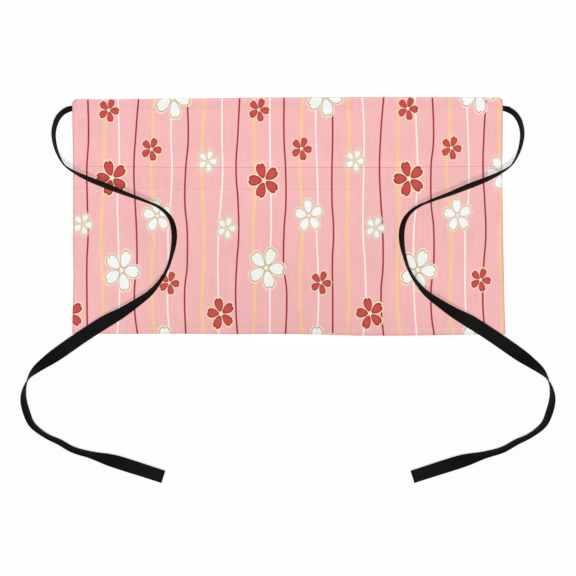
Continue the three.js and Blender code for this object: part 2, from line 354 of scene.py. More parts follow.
@dataclass
class ClosedSheet:
    """A closed sheet of cloth on a grid, with a rounded fold all the way round.

    Attributes:
        plan: X and Y of each grid point, as rows by columns by 2.
        back: Height of the sheet's back at each grid point.
        front: Height of its front.
        back_finish: Material number of each face of the back.
        fold: Tone painted at each grid point near the edge: up to 1 for painted shade and below 0 for
            painted light.
        rim_steps: Number of faces round the fold.
        map_margin: Room round the sheet on its flat map.
    """

    plan: Array
    back: Array
    front: Array
    back_finish: Array
    fold: Array
    rim_steps: int = 6
    map_margin: float = 0.006

    def parts(self) -> MeshParts:
        """Work out the corners, faces and flat map of the sheet.

        Returns:
            The arrays of its mesh.
        """
        number = np.arange(self.back.size).reshape(self.back.shape)
        rim = np.concatenate([number[0, :-1], number[:-1, -1], number[-1, :0:-1], number[:0:-1, 0]])
        front, back = self.front.ravel(), self.back.ravel()
        flat = self.plan.reshape(-1, 2).copy()
        along = np.roll(flat[rim], -1, axis=0) - np.roll(flat[rim], 1, axis=0)
        outward = unit(np.stack([along[:, 1], -along[:, 0]], axis=1))
        half = (front[rim] - back[rim])[:, None] / 2
        flat[rim] -= outward * half
        corners = [np.column_stack([flat, front]), np.column_stack([flat, back])]
        levels = [rim]
        spread = [flat[rim]]
        for step in range(1, self.rim_steps):
            turn = math.pi * step / self.rim_steps
            height = back[rim, None] + half * (1 + math.cos(turn))
            corners.append(np.column_stack([flat[rim] + outward * half * math.sin(turn), height]))
            levels.append(2 * number.size + (step - 1) * len(rim) + np.arange(len(rim)))
            spread.append(flat[rim] + outward * half * turn)
        levels.append(rim + number.size)
        spread.append(flat[rim] + outward * half * math.pi)
        front_faces = quads(number)
        back_faces = front_faces[:, ::-1]
        rim_faces = self.between(levels)
        faces = np.concatenate([front_faces, back_faces + number.size, rim_faces])
        layout = [
            self.on_map(flat[front_faces], upper=True),
            self.on_map(flat[back_faces], upper=False),
            self.on_map(self.between(spread), upper=True),
        ]
        finish = np.zeros(len(faces), dtype=int)
        finish[len(front_faces) : 2 * len(front_faces)] = self.back_finish.ravel()
        near = self.fold.ravel()
        fold = np.concatenate([near, near, np.tile(near[rim], self.rim_steps - 1)])
        return MeshParts(np.concatenate(corners), faces, finish, {BAKE_MAP: np.concatenate(layout)}, fold)

    @staticmethod
    def between(loops: Sequence[Array]) -> Array:
        """Four corners of each face between neighbouring loops, as numbers or as places.

        Args:
            loops: Loops of equal length, from the front to the back.

        Returns:
            A row for each face.
        """
        bands = [
            np.stack([over, under, np.roll(under, -1, axis=0), np.roll(over, -1, axis=0)], axis=1)
            for over, under in zip(loops, loops[1:])
        ]
        return np.concatenate(bands)

    def on_map(self, spots: Array, upper: bool) -> Array:
        """Move flat places on to the square map: the front in its upper half, the back mirrored below.

        Args:
            spots: Flat places on the sheet.
            upper: True for the front and the fold, False for the back.

        Returns:
            Places on the map, from 0 to 1.
        """
        low = self.plan.reshape(-1, 2).min(axis=0) - self.map_margin
        high = self.plan.reshape(-1, 2).max(axis=0) + self.map_margin
        wide, deep = high - low
        across = spots[..., 0] - low[0] if upper else high[0] - spots[..., 0]
        up = spots[..., 1] - low[1] + (deep if upper else 0.0)
        return np.stack([across, up], axis=-1) / max(wide, 2 * deep)


@dataclass
class Thread:
    """Sewing thread: short stitches whose ends dip into the cloth."""

    radius: float = 0.00026
    stitch: float = 0.0027
    gap: float = 0.0006
    ride: float = 0.6  # height of a stitch's middle over the cloth, in radii
    dip: float = 0.0004
    taper: float = 0.4
    bluntness: int = 4  # the higher, the nearer to its ends a stitch dips and tapers
    sides: int = 6
    rings: int = 5
    cell_share: float = 0.8  # how much of its cell on the flat map a stitch fills

    def row(self, start: Place, end: Place) -> tuple[Array, Array]:
        """First and last points of the stitches in a straight row.

        Args:
            start: X and Y where the row starts.
            end: X and Y where it ends.

        Returns:
            Two arrays of X and Y.
        """
        first, way = np.array(start), np.array(end) - np.array(start)
        pitch = self.stitch + self.gap
        count = max(1, round(np.linalg.norm(way) / pitch))
        share = np.arange(count)[:, None] / count
        return first + way * share, first + way * (share + self.stitch / pitch / count)

    def parts(self, starts: Array, ends: Array, up: float) -> MeshParts:
        """Mesh of many stitches.

        Args:
            starts: Where each stitch starts, on the cloth.
            ends: Where each stitch ends.
            up: 1 on the front of the cloth and -1 on its back.

        Returns:
            One mesh of all the stitches, each with a cell of its own on the flat map.
        """
        rise = np.tile([0.0, 0.0, up], (len(starts), 1))
        beside = unit(np.cross(ends - starts, rise)) * up
        shares = np.linspace(-1.0, 1.0, self.rings)
        turns = 2 * math.pi * np.arange(self.sides) / self.sides
        corners = []
        for share in shares:
            centre = starts + (ends - starts) * (share + 1) / 2
            tip = share**self.bluntness
            centre = centre + rise * (self.radius * self.ride - self.dip * tip)
            thick = self.radius * (1.0 - self.taper * tip)
            for turn in turns:
                corners.append(centre + (beside * math.cos(turn) + rise * up * math.sin(turn)) * thick)
        number = np.arange(self.rings * self.sides).reshape(self.rings, self.sides)
        tube = quads(np.column_stack([number, number[:, 0]]))
        low, high = number[0], number[-1]
        # Each end is a hexagon, closed by two faces
        caps = [low[[3, 2, 1, 0]], low[[5, 4, 3, 0]], high[:4], high[[0, 3, 4, 5]]]
        one = np.concatenate([tube, caps])
        offsets = np.arange(len(starts)) * number.size
        faces = (one[None] + offsets[:, None, None]).reshape(-1, 4)
        maps = {BAKE_MAP: self.cells(len(starts), one)}
        finish = np.zeros(len(faces), dtype=int)
        return MeshParts(np.stack(corners, axis=1).reshape(-1, 3), faces, finish, maps)

    def cells(self, count: int, one: Array) -> Array:
        """Flat map with a square cell for each stitch.

        Args:
            count: Number of stitches.
            one: Corner numbers of one stitch's faces.

        Returns:
            The place of every face's corners.
        """
        across = math.ceil(math.sqrt(count))
        side = one % self.sides
        side = np.where((side == 0) & (side.max(axis=1, keepdims=True) == self.sides - 1), self.sides, side)
        inside = np.stack([one // self.sides / (self.rings - 1), side / self.sides], axis=-1)
        inside = inside * self.cell_share + (1.0 - self.cell_share) / 2
        corner = np.stack([np.arange(count) % across, np.arange(count) // across], axis=-1)
        return ((inside[None] + corner[:, None, None]) / across).reshape(-1, 4, 2)


def joined(parts: Sequence[MeshParts]) -> MeshParts:
    """Put several meshes together as one, side by side on their flat map.

    Args:
        parts: The meshes.

    Returns:
        One mesh of them all.
    """
    offsets = np.cumsum([0, *(len(part.corners) for part in parts)])
    maps = [(part.maps[BAKE_MAP] + (index, 0)) / len(parts) for index, part in enumerate(parts)]
    return MeshParts(
        np.concatenate([part.corners for part in parts]),
        np.concatenate([part.faces + offset for part, offset in zip(parts, offsets)]),
        np.concatenate([part.finish for part in parts]),
        {BAKE_MAP: np.concatenate(maps)},
    )


class Graph:
    """Places nodes in one node tree and links them. A plain value goes straight into its socket."""

    # A Mix node's two inputs and its result for each kind, by number because the names repeat
    MIX_SOCKETS: ClassVar = {"RGBA": (6, 7, 2), "VECTOR": (4, 5, 1)}

    def __init__(self, tree: bpy.types.NodeTree) -> None:
        """Start on a tree."""
        self.tree = tree

    def feed(self, socket: bpy.types.NodeSocket, value: Feed) -> None:
        """Link a socket to another, or set its value.

        Args:
            socket: Socket that takes the value.
            value: Another socket, or a plain value.
        """
        if isinstance(value, bpy.types.NodeSocket):
            self.tree.links.new(value, socket)
        else:
            socket.default_value = value

    def node(
        self, kind: str, inputs: Mapping[str | int, Feed] | None = None, **settings: object
    ) -> bpy.types.Node:
        """Add a node.

        Args:
            kind: Blender's name for the node type.
            inputs: What goes into its sockets, by name or number.
            **settings: The node's own properties.

        Returns:
            The new node.
        """
        made = self.tree.nodes.new(kind)
        for name, value in settings.items():
            setattr(made, name, value)
        for socket, value in (inputs or {}).items():
            self.feed(made.inputs[socket], value)
        return made

    def math(self, operation: str, *values: Feed) -> bpy.types.NodeSocket:
        """Add a Math node and give its result."""
        return self.node("ShaderNodeMath", dict(enumerate(values)), operation=operation).outputs[0]

    def step(self, value: Feed, low: Feed, high: Feed) -> bpy.types.NodeSocket:
        """Smooth step from 0 at low to 1 at high."""
        inputs = {"Value": value, "From Min": low, "From Max": high}
        return self.node("ShaderNodeMapRange", inputs, interpolation_type="SMOOTHSTEP").outputs["Result"]

    def mix(self, kind: str, share: Feed, first: Feed, second: Feed) -> bpy.types.NodeSocket:
        """Mix two colours or vectors.

        Args:
            kind: RGBA for colours, VECTOR for vectors.
            share: 0 where the first shows and 1 where the second does.
            first: First colour or vector.
            second: Second colour or vector.

        Returns:
            The mixture.
        """
        one, other, result = self.MIX_SOCKETS[kind]
        inputs = {0: share, one: first, other: second}
        return self.node("ShaderNodeMix", inputs, data_type=kind).outputs[result]

    def blend(self, share: Feed, below: Feed, above: Feed) -> bpy.types.NodeSocket:
        """Mix two colours: below where share is 0, above where it is 1."""
        return self.mix("RGBA", share, below, above)

    def choose(self, share: Feed, first: Feed, second: Feed) -> bpy.types.NodeSocket:
        """Mix two vectors: first where share is 0, second where it is 1."""
        return self.mix("VECTOR", share, first, second)

    def bend(self, along: Feed, heights: Sequence[float]) -> bpy.types.NodeSocket:
        """Smooth curve through evenly spaced heights between 0 and 1, as along goes from 0 to 1.

        Args:
            along: Way along the curve.
            heights: The curve's heights.

        Returns:
            The height there.
        """
        node = self.node("ShaderNodeFloatCurve", {"Value": along})
        points = node.mapping.curves[0].points
        spots = list(zip(np.linspace(0.0, 1.0, len(heights)), heights))
        points[0].location, points[1].location = spots[0], spots[-1]
        for spot in spots[1:-1]:
            points.new(*spot)
        node.mapping.update()
        return node.outputs["Value"]

    def shaded(self, colour: Feed, tone: Feed, depth: float, still: float = 0.5) -> bpy.types.NodeSocket:
        """Make a colour lighter and darker with a tone.

        Args:
            colour: The colour.
            tone: The tone, from 0 to 1.
            depth: How much brighter the colour is at a tone of 1 than at 0.
            still: Tone at which the colour keeps its brightness.

        Returns:
            The shaded colour.
        """
        bright = self.math("MULTIPLY_ADD", tone, depth, 1.0 - depth * still)
        return self.node("ShaderNodeHueSaturation", {"Value": bright, "Color": colour}).outputs["Color"]

    def place(self, group: bpy.types.NodeTree, **inputs: Feed) -> Mapping[str, bpy.types.NodeSocket]:
        """Place a node group with its inputs by name, and give its outputs."""
        return self.node("ShaderNodeGroup", inputs, node_tree=group).outputs

    def parted(self, vector: Feed) -> Mapping[str, bpy.types.NodeSocket]:
        """X, Y and Z of a vector."""
        return self.node("ShaderNodeSeparateXYZ", {0: vector}).outputs


class EffectGroup(Graph):
    """A shader node group with named inputs and outputs."""

    KINDS: ClassVar = {float: "NodeSocketFloat", Vector: "NodeSocketVector", tuple: "NodeSocketColor"}

    def __init__(self, name: str, inputs: Mapping[str, type], outputs: Mapping[str, type]) -> None:
        """Make an empty group.

        Args:
            name: Name of the group.
            inputs: Kind of each input: float, Vector, or tuple for a colour.
            outputs: Kind of each output.
        """
        super().__init__(bpy.data.node_groups.new(name, "ShaderNodeTree"))
        for direction, sockets in (("INPUT", inputs), ("OUTPUT", outputs)):
            for title, kind in sockets.items():
                self.tree.interface.new_socket(title, in_out=direction, socket_type=self.KINDS[kind])
        self.given = self.node("NodeGroupInput").outputs

    def give(self, **outputs: Feed) -> bpy.types.NodeTree:
        """Link the group's outputs, by name, and hand the group over."""
        self.node("NodeGroupOutput", outputs)
        return self.tree


@dataclass(frozen=True)
class BlossomShape:
    """A five-petalled blossom, in shares of its petals' reach unless a field says otherwise."""

    petals: int = 5
    tall: float = 1.14  # the print is stretched along the stripes
    middle: float = 0.575
    half_length: float = 0.435
    half_width: float = 0.295
    base_width: float = 0.60
    swell: float = 0.65
    notch_at: float = 0.91
    notch_slope: float = 1.0
    notch_aside: float = 0.05
    parting: float = 0.023
    heart: float = 0.11
    heart_full: float = 0.11 / 3  # within this the heart has its full colour

    def group(self) -> bpy.types.NodeTree:
        """Build the node group that draws one blossom, as masks.

        Returns:
            The finished group.
        """
        sizes = dict.fromkeys(("Across", "Up", "Turn", "Soft", "Line", "Inset", "Halo"), float)
        masks = dict.fromkeys(("Petal", "Line", "Halo", "Heart"), float)
        g = EffectGroup("blossom", {"Spot": Vector, **sizes}, masks)
        spot = g.parted(g.given["Spot"])
        aside = g.math("SUBTRACT", g.given["Across"], spot["X"])
        above = g.math("DIVIDE", g.math("SUBTRACT", g.given["Up"], spot["Y"]), self.tall)
        squared = g.math("MULTIPLY_ADD", aside, aside, g.math("MULTIPLY", above, above))
        radius = g.math("DIVIDE", g.math("SQRT", squared), spot["Z"])
        angle = g.math("SUBTRACT", g.math("ARCTAN2", aside, above), g.given["Turn"])
        sector = math.pi / self.petals
        fold = g.math("WRAP", angle, sector, -sector)
        along = g.math("MULTIPLY", radius, g.math("COSINE", fold))
        signed = g.math("MULTIPLY", radius, g.math("SINE", fold))
        beside = g.math("ABSOLUTE", signed)
        edge = g.math("MAXIMUM", self.petal(g, along, beside), self.notch(g, along, signed))
        apart = g.math("MULTIPLY_ADD", beside, math.cos(sector), self.parting)
        apart = g.math("MULTIPLY_ADD", along, -math.sin(sector), apart)
        edge = g.math("MAXIMUM", edge, apart)
        run = g.math("DIVIDE", g.given["Soft"], spot["Z"])
        back = g.math("MULTIPLY", run, -1.0)
        petal = g.step(edge, run, back)
        off = g.math("ABSOLUTE", g.math("ADD", edge, g.given["Inset"]))
        line = g.step(g.math("SUBTRACT", off, g.given["Line"]), run, back)
        halo = g.step(g.math("SUBTRACT", edge, g.given["Halo"]), run, back)
        heart = g.step(radius, self.heart, self.heart_full)
        return g.give(Petal=petal, Line=line, Halo=halo, Heart=heart)

    def petal(self, g: Graph, along: Feed, beside: Feed) -> bpy.types.NodeSocket:
        """Distance outside an oval petal, which is wider towards its tip.

        Args:
            g: Graph of the blossom.
            along: Distance out along the petal.
            beside: Distance from the petal's middle line.

        Returns:
            The distance, negative inside the petal.
        """
        widening = self.half_width * self.swell
        width = g.math("MULTIPLY_ADD", along, widening, self.half_width * self.base_width)
        lengthwise = g.math("DIVIDE", g.math("SUBTRACT", along, self.middle), self.half_length)
        crosswise = g.math("DIVIDE", beside, width)
        squared = g.math("MULTIPLY_ADD", crosswise, crosswise, g.math("MULTIPLY", lengthwise, lengthwise))
        return g.math("MULTIPLY", g.math("SUBTRACT", g.math("SQRT", squared), 1.0), self.half_width)

    def notch(self, g: Graph, along: Feed, signed: Feed) -> bpy.types.NodeSocket:
        """Distance into the notch at the petal's tip.

        Args:
            g: Graph of the blossom.
            along: Distance out along the petal.
            signed: Distance from the petal's middle line, with a sign for its side.

        Returns:
            The distance, positive in the notch.
        """
        off = g.math("ABSOLUTE", g.math("SUBTRACT", signed, self.notch_aside))
        into = g.math("SUBTRACT", along, self.notch_at)
        depth = g.math("MULTIPLY_ADD", off, -self.notch_slope, into)
        return g.math("MULTIPLY", depth, 1.0 / math.hypot(1.0, self.notch_slope))


@dataclass(frozen=True)
class BlossomPrint:
    """The cloth's print: wavering stripes on a pink ground, with blossoms over them."""

    ground: Colour = swatch(246, 186, 186)
    red: Colour = swatch(205, 79, 77)
    white: Colour = swatch(246, 247, 245)
    heart: Colour = swatch(255, 246, 226)
    edge_colours: ClassVar = {Ink.RED: swatch(156, 62, 50), Ink.WHITE: swatch(190, 172, 130)}
    edge_halves: ClassVar = {Ink.RED: 0.034, Ink.WHITE: 0.022}  # shares of the petals' reach
    edge_insets: ClassVar = {Ink.RED: 0.034, Ink.WHITE: 0.0}
    halo_colours: ClassVar = {Ink.RED: swatch(255, 223, 192), Ink.WHITE: swatch(253, 232, 213)}
    halo_widths: ClassVar = {Ink.RED: 0.066, Ink.WHITE: 0.066}
    stripe_colours: ClassVar = {
        Ink.RED: swatch(163, 45, 54),
        Ink.YELLOW: swatch(248, 203, 156),
        Ink.WHITE: swatch(255, 242, 240),
    }
    stripe_halves: ClassVar = {Ink.RED: 0.00107, Ink.YELLOW: 0.0020, Ink.WHITE: 0.00095}
    stripe_bleeds: ClassVar = {Ink.RED: 0.0003, Ink.YELLOW: 0.0016, Ink.WHITE: 0.0004}
    chart_top: float = 0.140
    chart_depth: float = 0.280
    chart_span: float = 0.016  # the widest sway that a curve can hold
    still_sway: float = 0.5  # height of a curve where its stripe is at its mean place
    shape: BlossomShape = BlossomShape()

    def stripe_group(self) -> bpy.types.NodeTree:
        """Build the node group that draws one wavering stripe, as a mask.

        Returns:
            The finished group.
        """
        names = ("Across", "Place", "Sway", "Half", "Bleed")
        g = EffectGroup("wavering_stripe", dict.fromkeys(names, float), {"Mask": float})
        swing = g.math("SUBTRACT", g.given["Sway"], self.still_sway)
        course = g.math("MULTIPLY_ADD", swing, self.chart_span, g.given["Place"])
        off = g.math("ABSOLUTE", g.math("SUBTRACT", g.given["Across"], course))
        inner = g.math("SUBTRACT", g.given["Half"], g.given["Bleed"])
        outer = g.math("ADD", g.given["Half"], g.given["Bleed"])
        return g.give(Mask=g.step(off, outer, inner))

    def group(self) -> bpy.types.NodeTree:
        """Build the node group of the whole print, which puts out its colour.

        Returns:
            The finished group.
        """
        stripe_group = self.stripe_group()
        blossom_group = self.shape.group()
        g = EffectGroup("blossom_print", {"Place": Vector}, {"Colour": tuple})
        place = g.parted(g.given["Place"])
        down = g.math("DIVIDE", g.math("SUBTRACT", self.chart_top, place["Y"]), self.chart_depth)
        colour: Feed = self.ground
        for stripe in STRIPES:
            course = np.array(stripe.course) / MILLIMETRES
            middle = float(course.mean())
            sway = g.bend(down, self.still_sway + (course - middle) / self.chart_span)
            run = {"Half": self.stripe_halves[stripe.ink], "Bleed": self.stripe_bleeds[stripe.ink]}
            drawn = g.place(stripe_group, Across=place["X"], Place=middle, Sway=sway, **run)
            colour = g.blend(drawn["Mask"], colour, self.stripe_colours[stripe.ink])
        for motif in MOTIFS:
            spot = self.nearest(g, place["X"], motif)
            form = {"Spot": spot, "Turn": math.radians(motif.turn), "Soft": motif.soft}
            edges = {"Line": self.edge_halves, "Inset": self.edge_insets, "Halo": self.halo_widths}
            form |= {name: values[motif.ink] for name, values in edges.items()}
            drawn = g.place(blossom_group, Across=place["X"], Up=place["Y"], **form)
            colour = self.inked(g, drawn, motif.ink, colour)
        return g.give(Colour=colour)

    @staticmethod
    def nearest(g: Graph, across: Feed, motif: Motif) -> Feed:
        """Where the motif's nearest blossom sits, with its reach as the third number.

        Args:
            g: Graph of the print.
            across: Place across the cloth.
            motif: The motif.

        Returns:
            The blossom's X and Y, and its reach.
        """
        spot: Feed = (*motif.places[0], motif.reach)
        for before, after in zip(motif.places, motif.places[1:]):
            past = g.math("GREATER_THAN", across, (before[0] + after[0]) / 2)
            spot = g.choose(past, spot, (*after, motif.reach))
        return spot

    def inked(
        self, g: Graph, drawn: Mapping[str, bpy.types.NodeSocket], ink: Ink, colour: Feed
    ) -> bpy.types.NodeSocket:
        """Ink a blossom over the colour so far.

        Args:
            g: Graph of the print.
            drawn: The blossom's masks.
            ink: Ink of its petals.
            colour: Colour under it.

        Returns:
            The colour with the blossom on it.
        """
        colour = g.blend(drawn["Halo"], colour, self.halo_colours[ink])
        colour = g.blend(drawn["Heart"], colour, self.heart)
        colour = g.blend(drawn["Petal"], colour, self.red if ink is Ink.RED else self.white)
        return g.blend(drawn["Line"], colour, self.edge_colours[ink])


@dataclass(frozen=True)
class PlainWeave:
    """Threads that pass over and under each other, thicker in places."""

    pitch: float = 0.00055
    weft_scales: Place = (90.0, 1100.0)
    warp_scales: Place = (330.0, 16.0)
    warp_share: float = 0.75
    detail: float = 2.0
    slub: float = 0.6  # how far the thicker threads stand out

    def group(self) -> bpy.types.NodeTree:
        """Build the node group, which puts out the threads' height and their uneven tone.

        Returns:
            The finished group.
        """
        g = EffectGroup("plain_weave", {"Place": Vector}, {"Height": float, "Tone": float})
        place = g.parted(g.given["Place"])
        across = g.math("SINE", g.math("MULTIPLY", place["X"], math.pi / self.pitch))
        up = g.math("SINE", g.math("MULTIPLY", place["Y"], math.pi / self.pitch))
        over = g.math("MULTIPLY_ADD", g.math("MULTIPLY", across, up), 0.5, 0.5)
        tones = []
        for scales in (self.weft_scales, self.warp_scales):
            drawn_out = {0: g.given["Place"], 1: (*scales, 1.0)}
            spot = g.node("ShaderNodeVectorMath", drawn_out, operation="MULTIPLY").outputs[0]
            noise = g.node("ShaderNodeTexNoise", {"Vector": spot, "Scale": 1.0, "Detail": self.detail})
            tones.append(noise.outputs[0])
        weft = g.math("MULTIPLY", tones[0], 1.0 - self.warp_share)
        tone = g.math("MULTIPLY_ADD", tones[1], self.warp_share, weft)
        return g.give(Height=g.math("MULTIPLY_ADD", tone, self.slub, over), Tone=tone)


@dataclass(frozen=True)
class Mottle:
    """Broad, faint unevenness of a dyed surface."""

    scale: float = 40.0
    detail: float = 3.0

    def group(self) -> bpy.types.NodeTree:
        """Build the node group, which puts out a tone about 0.5.

        Returns:
            The finished group.
        """
        g = EffectGroup("mottle", {"Place": Vector}, {"Tone": float})
        inputs = {"Vector": g.given["Place"], "Scale": self.scale, "Detail": self.detail}
        return g.give(Tone=g.node("ShaderNodeTexNoise", inputs).outputs[0])


@dataclass(frozen=True)
class PaintedShadingPatch:
    """A broad patch of painted shade or painted light in the cloth's colour."""

    name: str
    middle: Place
    reach: Place

    def group(self) -> bpy.types.NodeTree:
        """Build the node group, which puts out 1 in the middle of the patch and fades to 0.

        Returns:
            The finished group.
        """
        g = EffectGroup(self.name, {"Place": Vector}, {"Tone": float})
        place = g.parted(g.given["Place"])
        squares = []
        for axis, middle, reach in zip("XY", self.middle, self.reach):
            off = g.math("DIVIDE", g.math("SUBTRACT", place[axis], middle), reach)
            squares.append(g.math("MULTIPLY", off, off))
        spread = g.math("MULTIPLY", g.math("ADD", *squares), -1.0)
        return g.give(Tone=g.math("EXPONENT", spread))


@dataclass
class EffectKit:
    """The node groups that the finishes share, each built once."""

    pattern: bpy.types.NodeTree
    weave: bpy.types.NodeTree
    mottle: bpy.types.NodeTree
    painted_shade: bpy.types.NodeTree
    painted_light: bpy.types.NodeTree

    @classmethod
    def build(cls) -> EffectKit:
        """Build every group.
        """
        # Painted shade over the pocket's lower middle
        painted_shade = PaintedShadingPatch("painted_shade_patch", middle=(0.010, -0.125), reach=(0.185, 0.095))
        # A band of painted light across the pocket's mouth
        painted_light = PaintedShadingPatch("painted_light_band", middle=(0.0, 0.066), reach=(0.420, 0.036))
        return cls(*(effect.group() for effect in (BlossomPrint(), PlainWeave(), Mottle(), painted_shade, painted_light)))


class FinishGraph(Graph):
    """The nodes of one material, round its Principled BSDF."""

    def __init__(self, name: str) -> None:
        """Make a new material with a plain surface.

        Args:
            name: Name of the material.
        """
        self.material = bpy.data.materials.new(name)
        self.material.use_nodes = True
        super().__init__(self.material.node_tree)
        self.shader = self.tree.nodes["Principled BSDF"]
        self.spot = self.node("ShaderNodeTexCoord").outputs["Object"]

    def surface(self, **inputs: Feed) -> bpy.types.Material:
        """Set the shader's sockets, by name with _ for a space, and hand the material over.

        Args:
            **inputs: What goes into each socket.

        Returns:
            The finished material.
        """
        for name, value in inputs.items():
            self.feed(self.shader.inputs[name.replace("_", " ")], value)
        return self.material

    def spread(self, group: bpy.types.NodeTree) -> Mapping[str, bpy.types.NodeSocket]:
        """Place a node group over the surface's own places, and give its outputs."""
        return self.place(group, Place=self.spot)

    def uneven(self, value: float, tone: Feed, swing: float) -> bpy.types.NodeSocket:
        """Let a value rise and fall by half the swing, as a tone goes from 0 to 1."""
        return self.math("MULTIPLY_ADD", tone, swing, value - swing / 2)

    def bump(self, height: Feed, strength: float, distance: float) -> bpy.types.NodeSocket:
        """Turn a height into a normal."""
        inputs = {"Strength": strength, "Distance": distance, "Height": height}
        return self.node("ShaderNodeBump", inputs).outputs["Normal"]


@dataclass(frozen=True)
class PrintedCotton:
    """Right side of the cloth: matt plain-weave cotton with its print, and with shade and light painted into
    its colour.
    """

    roughness: float = 0.86
    roughness_swing: float = 0.12
    weave_bump: float = 0.35
    weave_depth: float = 0.00012
    weave_tone: float = 0.19
    mottle_tone: float = 0.10
    # Darkening by the painted edge shade; the painted light at the waist edge lightens by a share of it
    painted_edge_depth: float = -0.24
    # Darkening by the patch of painted shade
    painted_shade_depth: float = -0.08
    # Lightening by the band of painted light
    painted_light_depth: float = 0.045
    gloss: float = 0.18
    sheen: float = 0.06
    sheen_roughness: float = 0.5

    def material(self, kit: EffectKit) -> bpy.types.Material:
        """Build the material from the shared groups.

        Args:
            kit: The shared node groups.

        Returns:
            The finished material.
        """
        g = FinishGraph("printed_cotton")
        colour = g.spread(kit.pattern)["Colour"]
        weave = g.spread(kit.weave)
        mottle = g.spread(kit.mottle)["Tone"]
        # Painted shade at the sides and foot, painted light at the waist edge, a patch of painted shade low
        # in the middle and a band of painted light across the pocket's mouth
        painted_light_and_shade = (
            (g.node("ShaderNodeAttribute", attribute_name=PAINTED_EDGE_TONE).outputs["Fac"], self.painted_edge_depth),
            (g.spread(kit.painted_shade)["Tone"], self.painted_shade_depth),
            (g.spread(kit.painted_light)["Tone"], self.painted_light_depth),
        )
        for tone, depth in painted_light_and_shade:
            colour = g.shaded(colour, tone, depth, still=0.0)
        colour = g.shaded(colour, weave["Tone"], self.weave_tone)
        return g.surface(
            Base_Color=g.shaded(colour, mottle, self.mottle_tone),
            Roughness=g.uneven(self.roughness, weave["Tone"], self.roughness_swing),
            Normal=g.bump(weave["Height"], self.weave_bump, self.weave_depth),
            Specular_IOR_Level=self.gloss,
            Sheen_Weight=self.sheen,
            Sheen_Roughness=self.sheen_roughness,
        )


@dataclass(frozen=True)
class ClothReverse:
    """Wrong side of the cloth: pale, with the print showing through."""

    pale: Colour = swatch(248, 222, 220)
    show_through: float = 0.30
    show_swing: float = 0.2
    roughness: float = 0.9
    roughness_swing: float = 0.1
    weave_bump: float = 0.4
    weave_depth: float = 0.00014
    mottle_tone: float = 0.06
    gloss: float = 0.15

    def material(self, kit: EffectKit) -> bpy.types.Material:
        """Build the material from the shared groups.

        Args:
            kit: The shared node groups.

        Returns:
            The finished material.
        """
        g = FinishGraph("cloth_reverse")
        pattern = g.spread(kit.pattern)["Colour"]
        weave = g.spread(kit.weave)
        mottle = g.spread(kit.mottle)["Tone"]
        through = g.uneven(self.show_through, weave["Tone"], self.show_swing)
        return g.surface(
            Base_Color=g.shaded(g.blend(through, self.pale, pattern), mottle, self.mottle_tone),
            Roughness=g.uneven(self.roughness, weave["Tone"], self.roughness_swing),
            Normal=g.bump(weave["Height"], self.weave_bump, self.weave_depth),
            Specular_IOR_Level=self.gloss,
        )


@dataclass(frozen=True)
class BlackTape:
    """Matt black woven tape, ribbed across, with a firm selvedge."""

    black: Colour = swatch(12, 12, 13)
    paler: Colour = swatch(24, 23, 24)
    rib: float = 0.0009
    rib_height: float = 0.5
    threads_per_rib: float = 1.25
    thread_height: float = 0.25
    selvedge_from: float = 0.0066
    selvedge_run: float = 0.0004
    selvedge_height: float = 1.2
    rubbed_heights: Place = (0.3, 1.6)
    roughness: float = 0.78
    roughness_swing: float = 0.16
    weave_bump: float = 0.4
    weave_depth: float = 0.0001
    gloss: float = 0.1

    def material(self, kit: EffectKit) -> bpy.types.Material:
        """Build the material from the shared groups and the run of the tape.

        Args:
            kit: The shared node groups.

        Returns:
            The finished material.
        """
        g = FinishGraph("black_woven_tape")
        run = g.parted(g.node("ShaderNodeUVMap", uv_map=TAPE_MAP).outputs["UV"])
        ribs = g.math("SINE", g.math("MULTIPLY", run["X"], 2 * math.pi / self.rib))
        turns = 2 * math.pi * self.threads_per_rib / self.rib
        threads = g.math("SINE", g.math("MULTIPLY", run["Y"], turns))
        firm_by = self.selvedge_from + self.selvedge_run
        selvedge = g.step(g.math("ABSOLUTE", run["Y"]), self.selvedge_from, firm_by)
        ribbed = g.math("MULTIPLY", ribs, self.rib_height)
        woven = g.math("MULTIPLY_ADD", threads, self.thread_height, ribbed)
        height = g.math("MULTIPLY_ADD", selvedge, self.selvedge_height, woven)
        mottle = g.spread(kit.mottle)["Tone"]
        rubbed = g.math("MULTIPLY", g.step(height, *self.rubbed_heights), mottle)
        return g.surface(
            Base_Color=g.blend(rubbed, self.black, self.paler),
            Roughness=g.uneven(self.roughness, mottle, self.roughness_swing),
            Normal=g.bump(height, self.weave_bump, self.weave_depth),
            Specular_IOR_Level=self.gloss,
        )


@dataclass(frozen=True)
class SewingThread:
    """Sewing thread, printed over together with the cloth."""

    ply: float = 0.0006
    ply_bump: float = 0.3
    ply_depth: float = 0.0001
    mottle_tone: float = 0.12
    roughness: float = 0.6
    roughness_swing: float = 0.05
    gloss: float = 0.3

    def material(self, kit: EffectKit) -> bpy.types.Material:
        """Build the material, with the twist of the thread's plies.

        Args:
            kit: The shared node groups.

        Returns:
            The finished material.
        """
        g = FinishGraph("printed_thread")
        spot = g.parted(g.spot)
        slant = g.math("ADD", g.math("ADD", spot["X"], spot["Y"]), spot["Z"])
        twist = g.math("SINE", g.math("MULTIPLY", slant, 2 * math.pi / self.ply))
        colour = g.spread(kit.pattern)["Colour"]
        mottle = g.spread(kit.mottle)["Tone"]
        return g.surface(
            Base_Color=g.shaded(colour, mottle, self.mottle_tone),
            Roughness=g.math("MULTIPLY_ADD", twist, self.roughness_swing, self.roughness),
            Normal=g.bump(twist, self.ply_bump, self.ply_depth),
            Specular_IOR_Level=self.gloss,
        )


